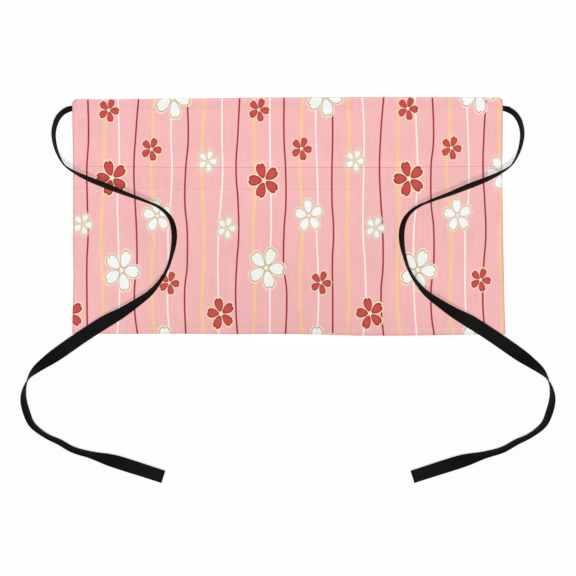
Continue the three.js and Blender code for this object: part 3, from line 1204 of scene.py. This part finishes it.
@dataclass
class Wardrobe:
    """The finished materials of the apron."""

    printed: bpy.types.Material
    reverse: bpy.types.Material
    tape: bpy.types.Material
    thread: bpy.types.Material

    @classmethod
    def build(cls) -> Wardrobe:
        """Build every material on one kit of effects.

        Returns:
            The wardrobe.
        """
        kit = EffectKit.build()
        finishes = (PrintedCotton(), ClothReverse(), BlackTape(), SewingThread())
        return cls(*(finish.material(kit) for finish in finishes))


@dataclass
class Outline:
    """Where the edges of the cloth run round a true rectangle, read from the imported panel."""

    node: str = "body_panel"
    half_width: float = 0.275
    half_depth: float = 0.150
    band: float = 0.006
    corner: float = 0.0065  # rounding of the waist's corners
    digits: int = 5  # places along an edge that agree this far are one place
    edges: dict[tuple[int, int], tuple[Array, Array]] = field(default_factory=dict)

    def read(self, panel: bpy.types.Object) -> None:
        """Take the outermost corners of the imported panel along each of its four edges.

        Args:
            panel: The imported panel.
        """
        corners = np.array([corner.co[:2] for corner in panel.data.vertices])
        halves = (self.half_width, self.half_depth)
        for axis, (half, other) in enumerate(zip(halves, halves[::-1])):
            for sign in (-1, 1):
                edge = sign * corners[:, axis] > half - self.band
                near = corners[edge & (np.abs(corners[:, 1 - axis]) < other - self.band)]
                along, which = np.unique(near[:, 1 - axis].round(self.digits), return_inverse=True)
                reach = np.zeros(len(along))
                np.maximum.at(reach, which, sign * near[:, axis])
                self.edges[axis, sign] = (along, reach - half)

    def stray(self, axis: int, sign: Array, along: Array) -> Array:
        """How far an edge lies outside the true rectangle, at places along it.

        Args:
            axis: 0 for the left and right edges, 1 for the bottom and top.
            sign: Below 0 for the left or bottom edge at that place, above 0 for the other.
            along: Places along the edge.

        Returns:
            The distance at each place, negative inside the rectangle.
        """
        half = (self.half_depth, self.half_width)[axis]
        strays = []
        for end in (-1, 1):
            drift = np.array(EDGE_DRIFT[axis, end]) / MILLIMETRES
            steps = np.linspace(-half, half, len(drift))
            strays.append(np.interp(along, *self.edges[axis, end]) + np.interp(along, steps, drift))
        return np.where(sign < 0, *strays)

    def lay(self, x: Array, y: Array) -> Array:
        """Move places on the true rectangle to where they lie on the cloth.

        Args:
            x: Places across.
            y: Places up.

        Returns:
            X and Y on the cloth, along the last axis.
        """
        beside = ease(np.abs(x), self.half_width - self.band, self.half_width)
        end = ease(np.abs(y), self.half_depth - self.band, self.half_depth)
        into_x = np.clip(1 - (self.half_width - np.abs(x)) / self.corner, 0.0, 1.0)
        into_y = np.clip(1 - (self.half_depth - y) / self.corner, 0.0, 1.0)
        round_x = self.corner * into_x * (1 - np.sqrt(1 - into_y**2 / 2))
        round_y = self.corner * into_y * (1 - np.sqrt(1 - into_x**2 / 2))
        moved_x = x + np.sign(x) * (self.stray(0, np.sign(x), y) * beside - round_x)
        moved_y = y + np.sign(y) * (self.stray(1, np.sign(y), x) * end - round_y)
        return np.stack([moved_x, moved_y], axis=-1)


@dataclass
class ClothPiece:
    """A hemmed piece of the printed cloth. Each kind of piece gives its own hems and heights."""

    outline: Outline
    wardrobe: Wardrobe
    layer: float = 0.0004
    hem_ramp: float = 0.0016
    edge_line: float = 0.0012  # first grid line inside the edge
    # Painted shade along the sides and foot and painted light along the waist edge: how far in they fade,
    # and how strong the light is
    painted_edge_reach: float = 0.0026
    waist_painted_light: float = 0.6
    step: float = 0.0023  # of the grid
    dimple: float = 0.0003
    dimple_width: float = 0.0011
    pucker: float = 0.00016
    pucker_reach: float = 0.007
    pucker_waves: Waves = ((0.0113, 0.4), (0.0171, 2.1), (0.029, 4.0))
    billow: float = 0.0
    billow_waves: tuple[Waves, Waves] = ((), ())
    billow_slants: Place = (0.0, 0.0)

    def hem_gap(self, x: Array, y: Array) -> Array:
        """Distance inside the nearest hem's inner edge, negative on the hem itself."""
        raise NotImplementedError

    def back(self, x: Array, y: Array) -> Array:
        """Height of the cloth's back."""
        raise NotImplementedError

    def front(self, x: Array, y: Array) -> Array:
        """Height of the cloth's front."""
        raise NotImplementedError

    def lay(self, x: Array, y: Array) -> Array:
        """Where places on the true rectangle lie on the piece, as X and Y along the last axis."""
        return self.outline.lay(x, y)

    def hem_share(self, x: Array, y: Array) -> Array:
        """1 on the doubled hems, 0 on the single cloth."""
        return ease(self.hem_gap(x, y), self.hem_ramp, 0.0)

    def painted_edge_share(self, x: Array, y: Array) -> Array:
        """Painted shade of 1 at the apron's sides and foot, and painted light below 0 at its waist edge,
        fading to 0 a little way in.

        Args:
            x: Places across.
            y: Places up.

        Returns:
            The share at each place.
        """
        inside = np.minimum(self.outline.half_width - np.abs(x), self.outline.half_depth + y)
        shaded = np.clip(1.0 - inside / self.painted_edge_reach, 0.0, 1.0)
        paler = np.clip(1.0 - (self.outline.half_depth - y) / self.painted_edge_reach, 0.0, 1.0)
        return shaded - self.waist_painted_light * paler

    def puckered(self, along: Array, off: Array) -> Array:
        """Small ripples that a row of stitches draws into the cloth, from 0 up."""
        return self.pucker * (1.0 + ripple(along, self.pucker_waves)) * hump(off, 0.0, self.pucker_reach)

    def billows(self, x: Array, y: Array) -> Array:
        """Broad, slanting billows between about -1 and 1.

        Args:
            x: Places across.
            y: Places up.

        Returns:
            The height at each place.
        """
        across, up = self.billow_waves
        slant_x, slant_y = self.billow_slants
        return ripple(x + slant_x * y, across) * ripple(y + slant_y * x, up)

    def dimpled(self, off: Array) -> Array:
        """Depth of the groove that a row of stitches pulls into the cloth."""
        return self.dimple * hump(off, 0.0, self.dimple_width)

    def make_cloth(self, name: str, node: str, lines_x: Lines, lines_y: Lines) -> bpy.types.Object:
        """Make the cloth on a grid.

        Args:
            name: Name of the piece.
            node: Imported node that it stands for.
            lines_x: Lines across that the grid has to hold.
            lines_y: Lines up that it has to hold.

        Returns:
            The cloth.
        """
        x, y = np.meshgrid(grid_lines(lines_x, self.step), grid_lines(lines_y, self.step))
        centre_x, centre_y = ((place[:-1, :-1] + place[1:, 1:]) / 2 for place in (x, y))
        single = self.hem_gap(centre_x, centre_y) > 0
        faces = single.astype(int)
        sheet = ClosedSheet(self.lay(x, y), self.back(x, y), self.front(x, y), faces, self.painted_edge_share(x, y))
        cloth = sheet.parts().make(name, Slot.CLOTH, [self.wardrobe.printed, self.wardrobe.reverse])
        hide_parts(node)
        return cloth

    def sew(self, name: str, rows: Sequence[Row], backing: ClothPiece | None) -> bpy.types.Object:
        """Sew straight rows of stitches.

        Args:
            name: Name of the piece of thread.
            rows: Where each row starts and ends.
            backing: Cloth on whose back the stitches show as well, if any.

        Returns:
            The thread.
        """
        thread = Thread()
        faces = [(self.front, 1.0)]
        if backing:
            faces.append((backing.back, -1.0))
        parts = []
        for start, end in rows:
            tips = thread.row(start, end)
            for height, up in faces:
                points = [np.column_stack([self.lay(*tip.T), height(*tip.T)]) for tip in tips]
                parts.append(thread.parts(*points, up))
        return joined(parts).make(name, Slot.CLOTH, [self.wardrobe.thread])


@dataclass
class ApronBody(ClothPiece):
    """The main cloth: hemmed all round and laid on its back, with a tie under each end of its top hem."""

    floor_gap: float = 0.00045
    top_hem: float = 0.020
    side_hem: float = 0.010
    foot_hem: float = 0.010
    top_stitch: float = 0.018
    side_stitch: float = 0.0085
    side_stitch_fade: float = 0.004  # its groove fades over this length above the pocket
    sag_run: float = 0.016
    billow: float = 0.0003
    billow_waves: tuple[Waves, Waves] = (((0.19, 0.6), (0.113, 2.2)), ((0.16, 1.0), (0.087, 3.1)))
    billow_slants: Place = (0.4, -0.3)
    fullness: float = 0.0030
    fullness_from: float = 0.110
    fullness_run: float = 0.048
    fullness_foot: Place = (-0.14, -0.02)
    fullness_side_run: float = 0.14
    roll: float = 0.0030
    roll_middle: float = 0.030
    roll_reach: float = 0.085
    roll_from: float = 0.085
    hem_swell: float = 0.0005
    hem_swell_run: float = 0.014
    hem_swell_edge: Place = (-0.001, 0.0006)  # from the stitches, where the swell starts
    tie_length: float = 0.0123
    tie_low: float = 0.1331
    tie_high: float = 0.1417
    tie_room: float = 0.0018
    tie_wall: float = 0.0008
    tie_bulge: float = 0.0010
    tie_bulge_run: float = 0.016
    tack_inner: float = 0.2683
    tack_outer: float = 0.2730
    tack_low: float = 0.1336
    tack_high: float = 0.1440
    tack_stitches: int = 7
    cut: tuple[float, float] = (0.570, 0.340)

    def hem_gap(self, x: Array, y: Array) -> Array:
        """Distance inside the nearest hem's inner edge, negative on the hem itself.

        Args:
            x: Places across.
            y: Places up.

        Returns:
            The distance at each place.
        """
        top = self.outline.half_depth - self.top_hem - y
        side = self.outline.half_width - self.side_hem - np.abs(x)
        foot = y + self.outline.half_depth - self.foot_hem
        return np.minimum(np.minimum(top, side), foot)

    def tie_share(self, x: Array, y: Array) -> Array:
        """1 in the room under the top hem's ends where the ties are sewn in.

        Args:
            x: Places across.
            y: Places up.

        Returns:
            The share at each place.
        """
        inner = self.outline.half_width - self.tie_length
        across = ease(np.abs(x), inner - self.tie_wall, inner)
        low = ease(y, self.tie_low - self.tie_wall, self.tie_low)
        high = ease(y, self.tie_high + self.tie_wall, self.tie_high)
        return across * low * high

    def tie_lump(self, x: Array, y: Array) -> Array:
        """How far a tie's sewn end raises the front of the hem.

        Args:
            x: Places across.
            y: Places up.

        Returns:
            The height at each place.
        """
        inner = self.outline.half_width - self.tie_length
        across = ease(np.abs(x), inner - self.tie_bulge_run, inner)
        return self.tie_bulge * across * ease(y, self.tie_low - self.tie_bulge_run / 2, self.tie_low)

    def soft_form(self, x: Array, y: Array) -> Array:
        """Slow billows and puckers, with the cloth rising under the pocket and rolling up at its foot.

        Args:
            x: Places across.
            y: Places up.

        Returns:
            The height at each place.
        """
        inside = ease(self.outline.half_width - np.abs(x), 0.0, self.fullness_side_run)
        rise = ease(self.fullness_from - y, 0.0, self.fullness_run) * ease(y, *self.fullness_foot) * inside
        rolled = np.clip((-y - self.roll_from) / (self.outline.half_depth - self.roll_from), 0.0, 1.0) ** 2
        rolled = rolled * hump(x, self.roll_middle, self.roll_reach)
        top = y - (self.outline.half_depth - self.top_stitch)
        side = np.abs(x) - (self.outline.half_width - self.side_stitch)
        puckers = self.puckered(x, top) + self.puckered(y, side)
        billows = self.billow * (1.0 + self.billows(x, y))
        return billows + self.fullness * rise + self.roll * rolled + puckers

    def resting(self, x: Array, y: Array) -> Array:
        """Height of the cloth's back away from the ties: hems low, single cloth lifted beside them.

        Args:
            x: Places across.
            y: Places up.

        Returns:
            The height at each place.
        """
        gap = np.maximum(self.hem_gap(x, y), 0.0)
        lifted = self.layer * np.exp(-gap / self.sag_run) * (1.0 - self.hem_share(x, y))
        return self.floor_gap + lifted + self.soft_form(x, y)

    def back(self, x: Array, y: Array) -> Array:
        """Height of the cloth's back, with room for the ties' sewn ends."""
        share = self.tie_share(x, y)
        return self.resting(x, y) * (1.0 - share) + self.tie_room * share

    def front(self, x: Array, y: Array) -> Array:
        """Height of the cloth's front, dimpled along its stitches.

        Args:
            x: Places across.
            y: Places up.

        Returns:
            The height at each place.
        """
        stitch = self.outline.half_depth - self.top_stitch
        thick = self.layer * (1.0 + self.hem_share(x, y))
        swell = ease(y - stitch, self.hem_swell_run, 0.0) * ease(y - stitch, *self.hem_swell_edge)
        side = np.abs(x) - (self.outline.half_width - self.side_stitch)
        beside = self.dimpled(side) * ease(y, POCKET_MOUTH, POCKET_MOUTH + self.side_stitch_fade)
        groove = np.maximum(self.dimpled(y - stitch), beside)
        return self.resting(x, y) + thick + self.hem_swell * swell + self.tie_lump(x, y) - groove

    def tack_rows(self, side: Side) -> list[Row]:
        """Close-set stitches of the bar tack that holds a tie."""
        ups = np.linspace(self.tack_low, self.tack_high, self.tack_stitches)
        return [((side.value * self.tack_inner, up), (side.value * self.tack_outer, up)) for up in ups]

    def build(self) -> None:
        """Make the cloth with its rows of stitches."""
        half_width, half_depth = self.outline.half_width, self.outline.half_depth
        tie_inner = half_width - self.tie_length
        ends = [half_width, half_width - self.edge_line, half_width - self.side_hem, tie_inner]
        ends += [half_width - self.side_stitch, tie_inner - self.tie_wall]
        stitch = half_depth - self.top_stitch
        lines_y = [half_depth, half_depth - self.edge_line, half_depth - self.top_hem]
        lines_y += [stitch - self.dimple_width, stitch, stitch + self.dimple_width]
        lines_y += [self.tie_low - self.tie_wall, self.tie_low, self.tie_high, self.tie_high + self.tie_wall]
        lines_y += [-half_depth, self.edge_line - half_depth, self.foot_hem - half_depth]
        lines_x = [sign * place for sign in (-1, 1) for place in ends]
        cloth = self.make_cloth("body_cloth", self.outline.node, lines_x, lines_y)
        top_row = ((-half_width + self.edge_line, stitch), (half_width - self.edge_line, stitch))
        beside = half_width - self.side_stitch
        side_rows = [((sign * beside, stitch), (sign * beside, POCKET_MOUTH)) for sign in (-1, 1)]
        threads = [self.sew("top_hem_stitches", [top_row], self)]
        threads.append(self.sew("side_hem_stitches", side_rows, self))
        threads += [self.sew(f"{side.name.lower()}_tie_tack", self.tack_rows(side), None) for side in Side]


@dataclass
class FrontPocket(ClothPiece):
    """The wide pocket, sewn to the body at its sides and foot. Its hemmed mouth lies nearly closed."""

    body: ApronBody | None = None
    node: str = "pocket_panel"
    mouth: float = POCKET_MOUTH
    mouth_hem: float = 0.0285
    mouth_stitch: float = 0.027
    seam: float = 0.007
    foot_seam: float = 0.0045
    turning: float = 0.009
    inset: float = 0.0004
    gap: float = 0.00015
    gape: float = 0.0030
    lip_close: float = 0.88
    lip_run: float = 0.034
    lip_pressed: float = 0.32
    lip_pressed_run: float = 0.005
    sag: float = 0.0018
    sag_from: float = -0.02
    sag_side_run: float = 0.165
    side_run: float = 0.095
    foot_run: float = 0.090
    billow: float = 0.0005
    billow_waves: tuple[Waves, Waves] = (((0.21, 2.0), (0.127, 0.3)), ((0.18, 0.2), (0.094, 1.9)))
    billow_slants: Place = (-0.2, 0.5)
    cut: tuple[float, float] = (0.570, 0.250)

    def hem_gap(self, x: Array, y: Array) -> Array:
        """Distance inside the nearest turning's inner edge, negative on the doubled cloth.

        Args:
            x: Places across.
            y: Places up.

        Returns:
            The distance at each place.
        """
        top = self.mouth - self.mouth_hem - y
        side = self.outline.half_width - self.turning - np.abs(x)
        foot = y + self.outline.half_depth - self.turning
        return np.minimum(np.minimum(top, side), foot)

    def lay(self, x: Array, y: Array) -> Array:
        """Where places lie on the pocket, whose mouth sags between the sides.

        Args:
            x: Places across.
            y: Places up.

        Returns:
            X and Y on the pocket, along the last axis.
        """
        laid = self.outline.lay(x, y)
        slack = ease(self.outline.half_width - np.abs(x), 0.0, self.sag_side_run)
        laid[..., 1] -= self.sag * slack * ease(y, self.sag_from, self.mouth)
        return laid

    def lift(self, x: Array, y: Array) -> Array:
        """How far the pocket stands away from the body: nothing at its seams, and little at its lip.

        Args:
            x: Places across.
            y: Places up.

        Returns:
            The height at each place.
        """
        across = ease(self.outline.half_width - self.seam - np.abs(x), 0.0, self.side_run)
        up = ease(y + self.outline.half_depth - self.foot_seam, 0.0, self.foot_run)
        lip = 1.0 - self.lip_close * ease(y, self.mouth - self.lip_run, self.mouth)
        return (self.gape + self.billow * self.billows(x, y)) * across * up * lip

    def back(self, x: Array, y: Array) -> Array:
        """Height of the pocket's back.

        Args:
            x: Places across.
            y: Places up.

        Returns:
            The height at each place.
        """
        side = np.abs(x) - (self.outline.half_width - self.seam)
        puckers = self.puckered(x, y - (self.mouth - self.mouth_stitch)) + self.puckered(y, side)
        smooth = self.body.resting(x, y) + self.layer * (1.0 + self.body.hem_share(x, y))
        return smooth + self.gap + self.lift(x, y) + puckers

    def front(self, x: Array, y: Array) -> Array:
        """Height of the pocket's front, dimpled along its stitches.

        Args:
            x: Places across.
            y: Places up.

        Returns:
            The height at each place.
        """
        rows = (
            y - (self.mouth - self.mouth_stitch),
            np.abs(x) - (self.outline.half_width - self.seam),
            y + self.outline.half_depth - self.foot_seam,
        )
        groove = np.maximum.reduce([self.dimpled(off) for off in rows])
        pressed = 1.0 - self.lip_pressed * ease(y, self.mouth - self.lip_pressed_run, self.mouth)
        return self.back(x, y) + self.layer * (1.0 + self.hem_share(x, y)) * pressed - groove

    def build(self) -> None:
        """Make the pocket with its rows of stitches."""
        half_width = self.outline.half_width - self.inset
        foot = self.inset - self.outline.half_depth
        hem_row = self.mouth - self.mouth_stitch
        foot_row = self.foot_seam - self.outline.half_depth
        side_row = self.outline.half_width - self.seam
        ends = [half_width, half_width - self.edge_line, side_row, self.outline.half_width - self.turning]
        ends += [side_row + self.dimple_width, side_row - self.dimple_width]
        lines_y = [self.mouth, self.mouth - self.edge_line, hem_row, self.mouth - self.mouth_hem]
        lines_y += [hem_row + self.dimple_width, hem_row - self.dimple_width, foot_row]
        lines_y += [foot, foot + self.edge_line, self.turning - self.outline.half_depth]
        lines_x = [sign * place for sign in (-1, 1) for place in ends]
        cloth = self.make_cloth("pocket_cloth", self.node, lines_x, lines_y)
        inner = half_width - self.edge_line
        hem = self.sew("pocket_hem_stitches", [((-inner, hem_row), (inner, hem_row))], self)
        top = self.mouth - self.edge_line
        seams = [((sign * side_row, top), (sign * side_row, foot_row)) for sign in (-1, 1)]
        seams.append(((-side_row, foot_row), (side_row, foot_row)))
        seam = self.sew("pocket_seam_stitches", seams, self.body)


@dataclass
class TapeSections:
    """Cross-sections of a tape along its route, one row each."""

    run: Array
    centre: Array
    across: Array
    through: Array
    width: Array
    thick: Array
    curl: Array


@dataclass
class TapeTie:
    """A flat woven tape, sewn under one end of the top hem and laid in loose curves."""

    side: Side
    body: ApronBody
    pocket: FrontPocket
    material: bpy.types.Material
    width: float = 0.0171
    thick: float = 0.001
    sewn_length: float = 0.012
    sewn_width: float = 0.007
    sewn_thick: float = 0.0014
    opens_by: float = 0.040
    climb_from: float = 0.060
    climb_to: float = 0.095
    ease_off: float = 0.016
    mouth_margin: float = 0.002
    lift: float = 0.0001
    clearance: float = 0.0003
    curl: float = 0.0012
    more_curl: float = 0.0014
    more_curl_at: float = 0.226
    more_curl_reach: float = 0.045
    steps: int = 8
    rest_shares: tuple[float, ...] = (-1.0, -0.5, 0.0, 0.5, 1.0)  # places across that may touch down
    half_shares: tuple[float, ...] = (0.14, 0.42, 0.7, 0.9, 0.97, 0.997)
    edge_power: int = 8  # the higher, the squarer its edges
    smooth_reach: int = 4  # sections
    map_rows: int = 8
    map_share: float = 0.96
    map_gap: float = 0.05  # above and below the tape in each row of its map
    cap_middle: float = 0.24
    cap_half: Place = (0.22, 0.01)
    exit_up: float = TIE_ROUTE[1].up
    exit_height: float = 0.0008
    length: float = 0.785

    def route(self) -> Array:
        """Points and tilts along the route, on a smooth curve through its stations.

        Returns:
            A row of place out, place up and tilt for each point.
        """
        stations = np.array(TIE_ROUTE, dtype=float)
        ends = 2 * stations[[0, -1]] - stations[[1, -2]]
        padded = np.vstack([ends[:1], stations, ends[1:]])
        spans = len(stations) - 1
        before, here, after, later = (padded[first : first + spans, None] for first in range(4))
        t = np.linspace(0.0, 1.0, self.steps, endpoint=False)[None, :, None]
        line = 2 * here + (after - before) * t
        bend = (2 * before - 5 * here + 4 * after - later) * t**2
        twist = (3 * here - before - 3 * after + later) * t**3
        return np.vstack([((line + bend + twist) / 2).reshape(-1, 3), stations[-1:]])

    def under(self, x: Array, y: Array) -> Array:
        """Height of what lies under a point: pocket, body, or the floor, with an eased step between.

        Args:
            x: Places across.
            y: Places up.

        Returns:
            The height at each place.
        """
        outline = self.body.outline
        near_x = np.clip(x, -outline.half_width, outline.half_width)
        near_y = np.clip(y, -outline.half_depth, outline.half_depth)
        past = np.hypot(x - near_x, y - near_y)
        on_pocket = near_y < self.pocket.mouth + self.mouth_margin
        cloth = np.where(on_pocket, self.pocket.front(near_x, near_y), self.body.front(near_x, near_y))
        return cloth * ease(past, self.ease_off, 0.0)

    def sections(self) -> TapeSections:
        """Cross-sections of the tie, each set down on what lies under it.

        Returns:
            The cross-sections from the sewn end to the free end.
        """
        points = self.route()
        along = unit(np.gradient(points[:, :2], axis=0))
        run = np.concatenate([[0.0], np.cumsum(np.linalg.norm(np.diff(points[:, :2], axis=0), axis=1))])
        open_share = ease(run, self.sewn_length, self.opens_by)
        tilt = np.radians(np.where(run > self.sewn_length, points[:, 2], 0.0))
        level = np.stack([-along[:, 1], along[:, 0]], axis=1) * np.cos(tilt)[:, None]
        across = np.column_stack([level, np.sin(tilt)])
        through = np.cross(np.column_stack([along, np.zeros(len(run))]), across)
        width = self.sewn_width + (self.width - self.sewn_width) * open_share
        thick = self.sewn_thick + (self.thick - self.sewn_thick) * open_share
        climb = ease(run, self.climb_from, self.climb_to)
        room = self.lift + (self.clearance - self.lift) * climb
        more = self.more_curl * hump(run, self.more_curl_at, self.more_curl_reach)
        curl = (self.curl + more) * np.sin(tilt) ** 2 * open_share
        heights = []
        for share in self.rest_shares:
            reach = share * width / 2
            spot = points[:, :2] + across[:, :2] * reach[:, None]
            under = climb * self.under(self.side.value * spot[:, 0], spot[:, 1])
            drop = across[:, 2] * reach + through[:, 2] * curl * (share**2 - 0.5)
            heights.append(under + room - drop + np.abs(through[:, 2]) * thick / 2)
        centre = np.column_stack([points[:, :2], self.smoothed(np.max(heights, axis=0), run)])
        mirror = np.array([self.side.value, 1.0, 1.0])
        return TapeSections(run, centre * mirror, across * mirror, through * mirror, width, thick, curl)

    def smoothed(self, heights: Array, run: Array) -> Array:
        """Round off the steps in the free tape's height, and keep it clear of what it lies on.

        Args:
            heights: Height of each section that just clears what is under it.
            run: Distance of each section along the tape.

        Returns:
            Heights that are nowhere lower.
        """
        window = 2 * self.smooth_reach + 1
        ends = np.pad(heights, 2 * self.smooth_reach, mode="edge")
        highest = np.lib.stride_tricks.sliding_window_view(ends, window).max(axis=1)
        rounded = np.lib.stride_tricks.sliding_window_view(highest, window).mean(axis=1)
        share = ease(run, self.opens_by, self.climb_from)
        return heights + (rounded - heights) * share

    def mesh(self, cut: TapeSections) -> MeshParts:
        """Work out the tape's corners, faces and flat maps.

        Args:
            cut: Its cross-sections.

        Returns:
            The closed tape.
        """
        half = np.array(self.half_shares)
        share = np.concatenate([-half[::-1], half])
        rounded = np.sqrt(1.0 - share**self.edge_power)
        beside = np.concatenate([share, share[::-1]])
        above = np.concatenate([rounded, -rounded[::-1]])
        reach = beside * cut.width[:, None] / 2
        off = above * cut.thick[:, None] / 2 + (beside**2 - 0.5) * cut.curl[:, None]
        level = cut.centre[:, None] + cut.across[:, None] * reach[..., None]
        corners = level + cut.through[:, None] * off[..., None]
        sections, girth = reach.shape
        wrapped = quads(np.arange(sections * (girth + 1)).reshape(sections, girth + 1))
        row, column = np.divmod(wrapped, girth + 1)
        tube = (row * girth + column % girth)[:, ::-1]
        cap = np.array([[i, i + 1, girth - 2 - i, girth - 1 - i] for i in range(len(share) - 1)])
        faces = np.concatenate([tube, cap, cap[:, ::-1] + (sections - 1) * girth])
        around = self.tube_map(row, column, sections, girth)[:, ::-1]
        layout = np.concatenate([around, self.cap_map(cap, beside, above)])
        if self.side is Side.LEFT:
            faces, layout = faces[:, ::-1], layout[:, ::-1]
        flat_run = np.stack([np.broadcast_to(cut.run[:, None], reach.shape), reach], axis=-1).reshape(-1, 2)
        maps = {TAPE_MAP: flat_run[faces], BAKE_MAP: layout}
        return MeshParts(corners.reshape(-1, 3), faces, np.zeros(len(faces), dtype=int), maps)

    def tube_map(self, row: Array, column: Array, sections: int, girth: int) -> Array:
        """Lay the tape's surface out in rows on the flat map, below the strip for its two ends.

        Args:
            row: Section of each face's corners.
            column: Place of each face's corners round the tape.
            sections: Number of sections.
            girth: Number of corners round the tape.

        Returns:
            The place of every face's corners.
        """
        length = math.ceil((sections - 1) / self.map_rows)
        band = row.min(axis=1, keepdims=True) // length
        inside = self.map_gap + (1.0 - 2 * self.map_gap) * column / girth
        up = (band + inside) / self.map_rows * self.map_share
        return np.stack([(row - band * length) / length, up], axis=-1)

    def cap_map(self, cap: Array, beside: Array, above: Array) -> Array:
        """Lay the tape's two ends side by side at the top of the flat map.

        Args:
            cap: Corner numbers of one end's faces.
            beside: Each corner's place across the tape, from -1 to 1.
            above: Each corner's place through it, from -1 to 1.

        Returns:
            The place of every face's corners, for both ends.
        """
        half_width, half_height = self.cap_half
        up = (1.0 + self.map_share) / 2 + half_height * above
        one = np.stack([self.cap_middle + half_width * beside, up], axis=-1)[cap]
        return np.concatenate([one, one[:, ::-1] + (0.5, 0.0)])

    def build(self) -> bpy.types.Object:
        """Make the tie.

        Returns:
            The tape.
        """
        name = self.side.name.lower()
        cut = self.sections()
        tape = self.mesh(cut).make(f"{name}_tape", Slot.TAPE, [self.material])
        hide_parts(f"{name}_tie")
        LOG.info("%s_tape: %.3f m along its route", name, cut.run[-1])
        return tape


@dataclass
class Studio:
    """A pale floor, light from overhead and a little towards the foot, and the camera above."""

    camera_height: float = 3.0
    view_width: float = 0.734
    aim: Place = (0.0001, -0.0916)
    sensor: float = 36.0
    ambient: float = 0.05
    broad: Lamp = Lamp("broad_lamp", 2.382, 26.0, (0.0, -0.28, 1.0))
    accent: Lamp = Lamp("accent_lamp", 0.730, 9.0, (0.0, -0.34, 1.0))
    floor_size: float = 8.0
    floor_colour: Colour = (0.99, 0.99, 0.99, 1.0)
    floor_roughness: float = 0.9
    broad_holder: bpy.types.Object | None = None

    def build(self) -> None:
        """Set up the view, the light and the floor."""
        scene = bpy.context.scene
        scene.view_settings.view_transform = "Standard"
        self.place_camera(scene)
        self.place_light(scene)
        self.lay_floor(scene)

    def place_camera(self, scene: bpy.types.Scene) -> None:
        """Hang the camera over the apron, looking straight down.

        Args:
            scene: Scene that it goes into.
        """
        camera = bpy.data.cameras.new("camera")
        camera.sensor_width = self.sensor
        camera.lens = self.sensor * self.camera_height / self.view_width
        holder = bpy.data.objects.new("camera", camera)
        holder.location = (*self.aim, self.camera_height)
        scene.collection.objects.link(holder)
        scene.camera = holder

    def place_light(self, scene: bpy.types.Scene) -> None:
        """Light the apron from all round, and from two lamps overhead and a little towards its foot.

        Args:
            scene: Scene that it goes into.
        """
        world = bpy.data.worlds.new("studio")
        world.use_nodes = True
        world.node_tree.nodes["Background"].inputs["Color"].default_value = (1.0, 1.0, 1.0, 1.0)
        world.node_tree.nodes["Background"].inputs["Strength"].default_value = self.ambient
        scene.world = world
        self.broad_holder = self.hang(scene, self.broad)
        self.hang(scene, self.accent)

    @staticmethod
    def hang(scene: bpy.types.Scene, lamp: Lamp) -> bpy.types.Object:
        """Hang one far lamp.

        Args:
            scene: Scene that it lights.
            lamp: Its strength, spread and place.

        Returns:
            The lamp's object.
        """
        light = bpy.data.lights.new(lamp.name, "SUN")
        light.energy = lamp.strength
        light.angle = math.radians(lamp.spread)
        holder = bpy.data.objects.new(lamp.name, light)
        holder.location = lamp.place
        holder.rotation_euler = (-Vector(lamp.place)).to_track_quat("-Z", "Y").to_euler()
        scene.collection.objects.link(holder)
        return holder

    def spare(self, pieces: Iterable[bpy.types.Object]) -> None:
        """Let the broad lamp shine past thin pieces, so that their shadows stay faint.

        Args:
            pieces: The thin pieces.
        """
        spared = bpy.data.collections.new("faint_shadow_pieces")
        for piece in pieces:
            spared.objects.link(piece)
        for member in spared.collection_objects:
            member.light_linking.link_state = "EXCLUDE"
        self.broad_holder.light_linking.blocker_collection = spared

    def lay_floor(self, scene: bpy.types.Scene) -> None:
        """Lay the floor under the apron.

        Args:
            scene: Scene that it goes into.
        """
        half = self.floor_size / 2
        corners = [(-half, -half, 0.0), (half, -half, 0.0), (half, half, 0.0), (-half, half, 0.0)]
        mesh = bpy.data.meshes.new("floor")
        mesh.from_pydata(corners, [], [(0, 1, 2, 3)])
        g = FinishGraph("pale_floor")
        finish = {"Base_Color": self.floor_colour, "Roughness": self.floor_roughness}
        mesh.materials.append(g.surface(**finish, Specular_IOR_Level=0.0))
        floor = bpy.data.objects.new("floor", mesh)
        scene.collection.objects.link(floor)


def main() -> None:
    """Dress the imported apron, piece by piece."""
    logging.basicConfig(level=logging.INFO, format="%(name)s: %(message)s")
    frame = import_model()
    studio = Studio()
    studio.build()
    wardrobe = Wardrobe.build()
    outline = Outline()
    outline.read(frame["nodes"][outline.node])
    body = ApronBody(outline, wardrobe)
    pocket = FrontPocket(outline, wardrobe, body=body)
    studio.spare([TapeTie(side, body, pocket, wardrobe.tape).build() for side in Side])
    body.build()
    pocket.build()


if __name__ == "__main__":
    main()
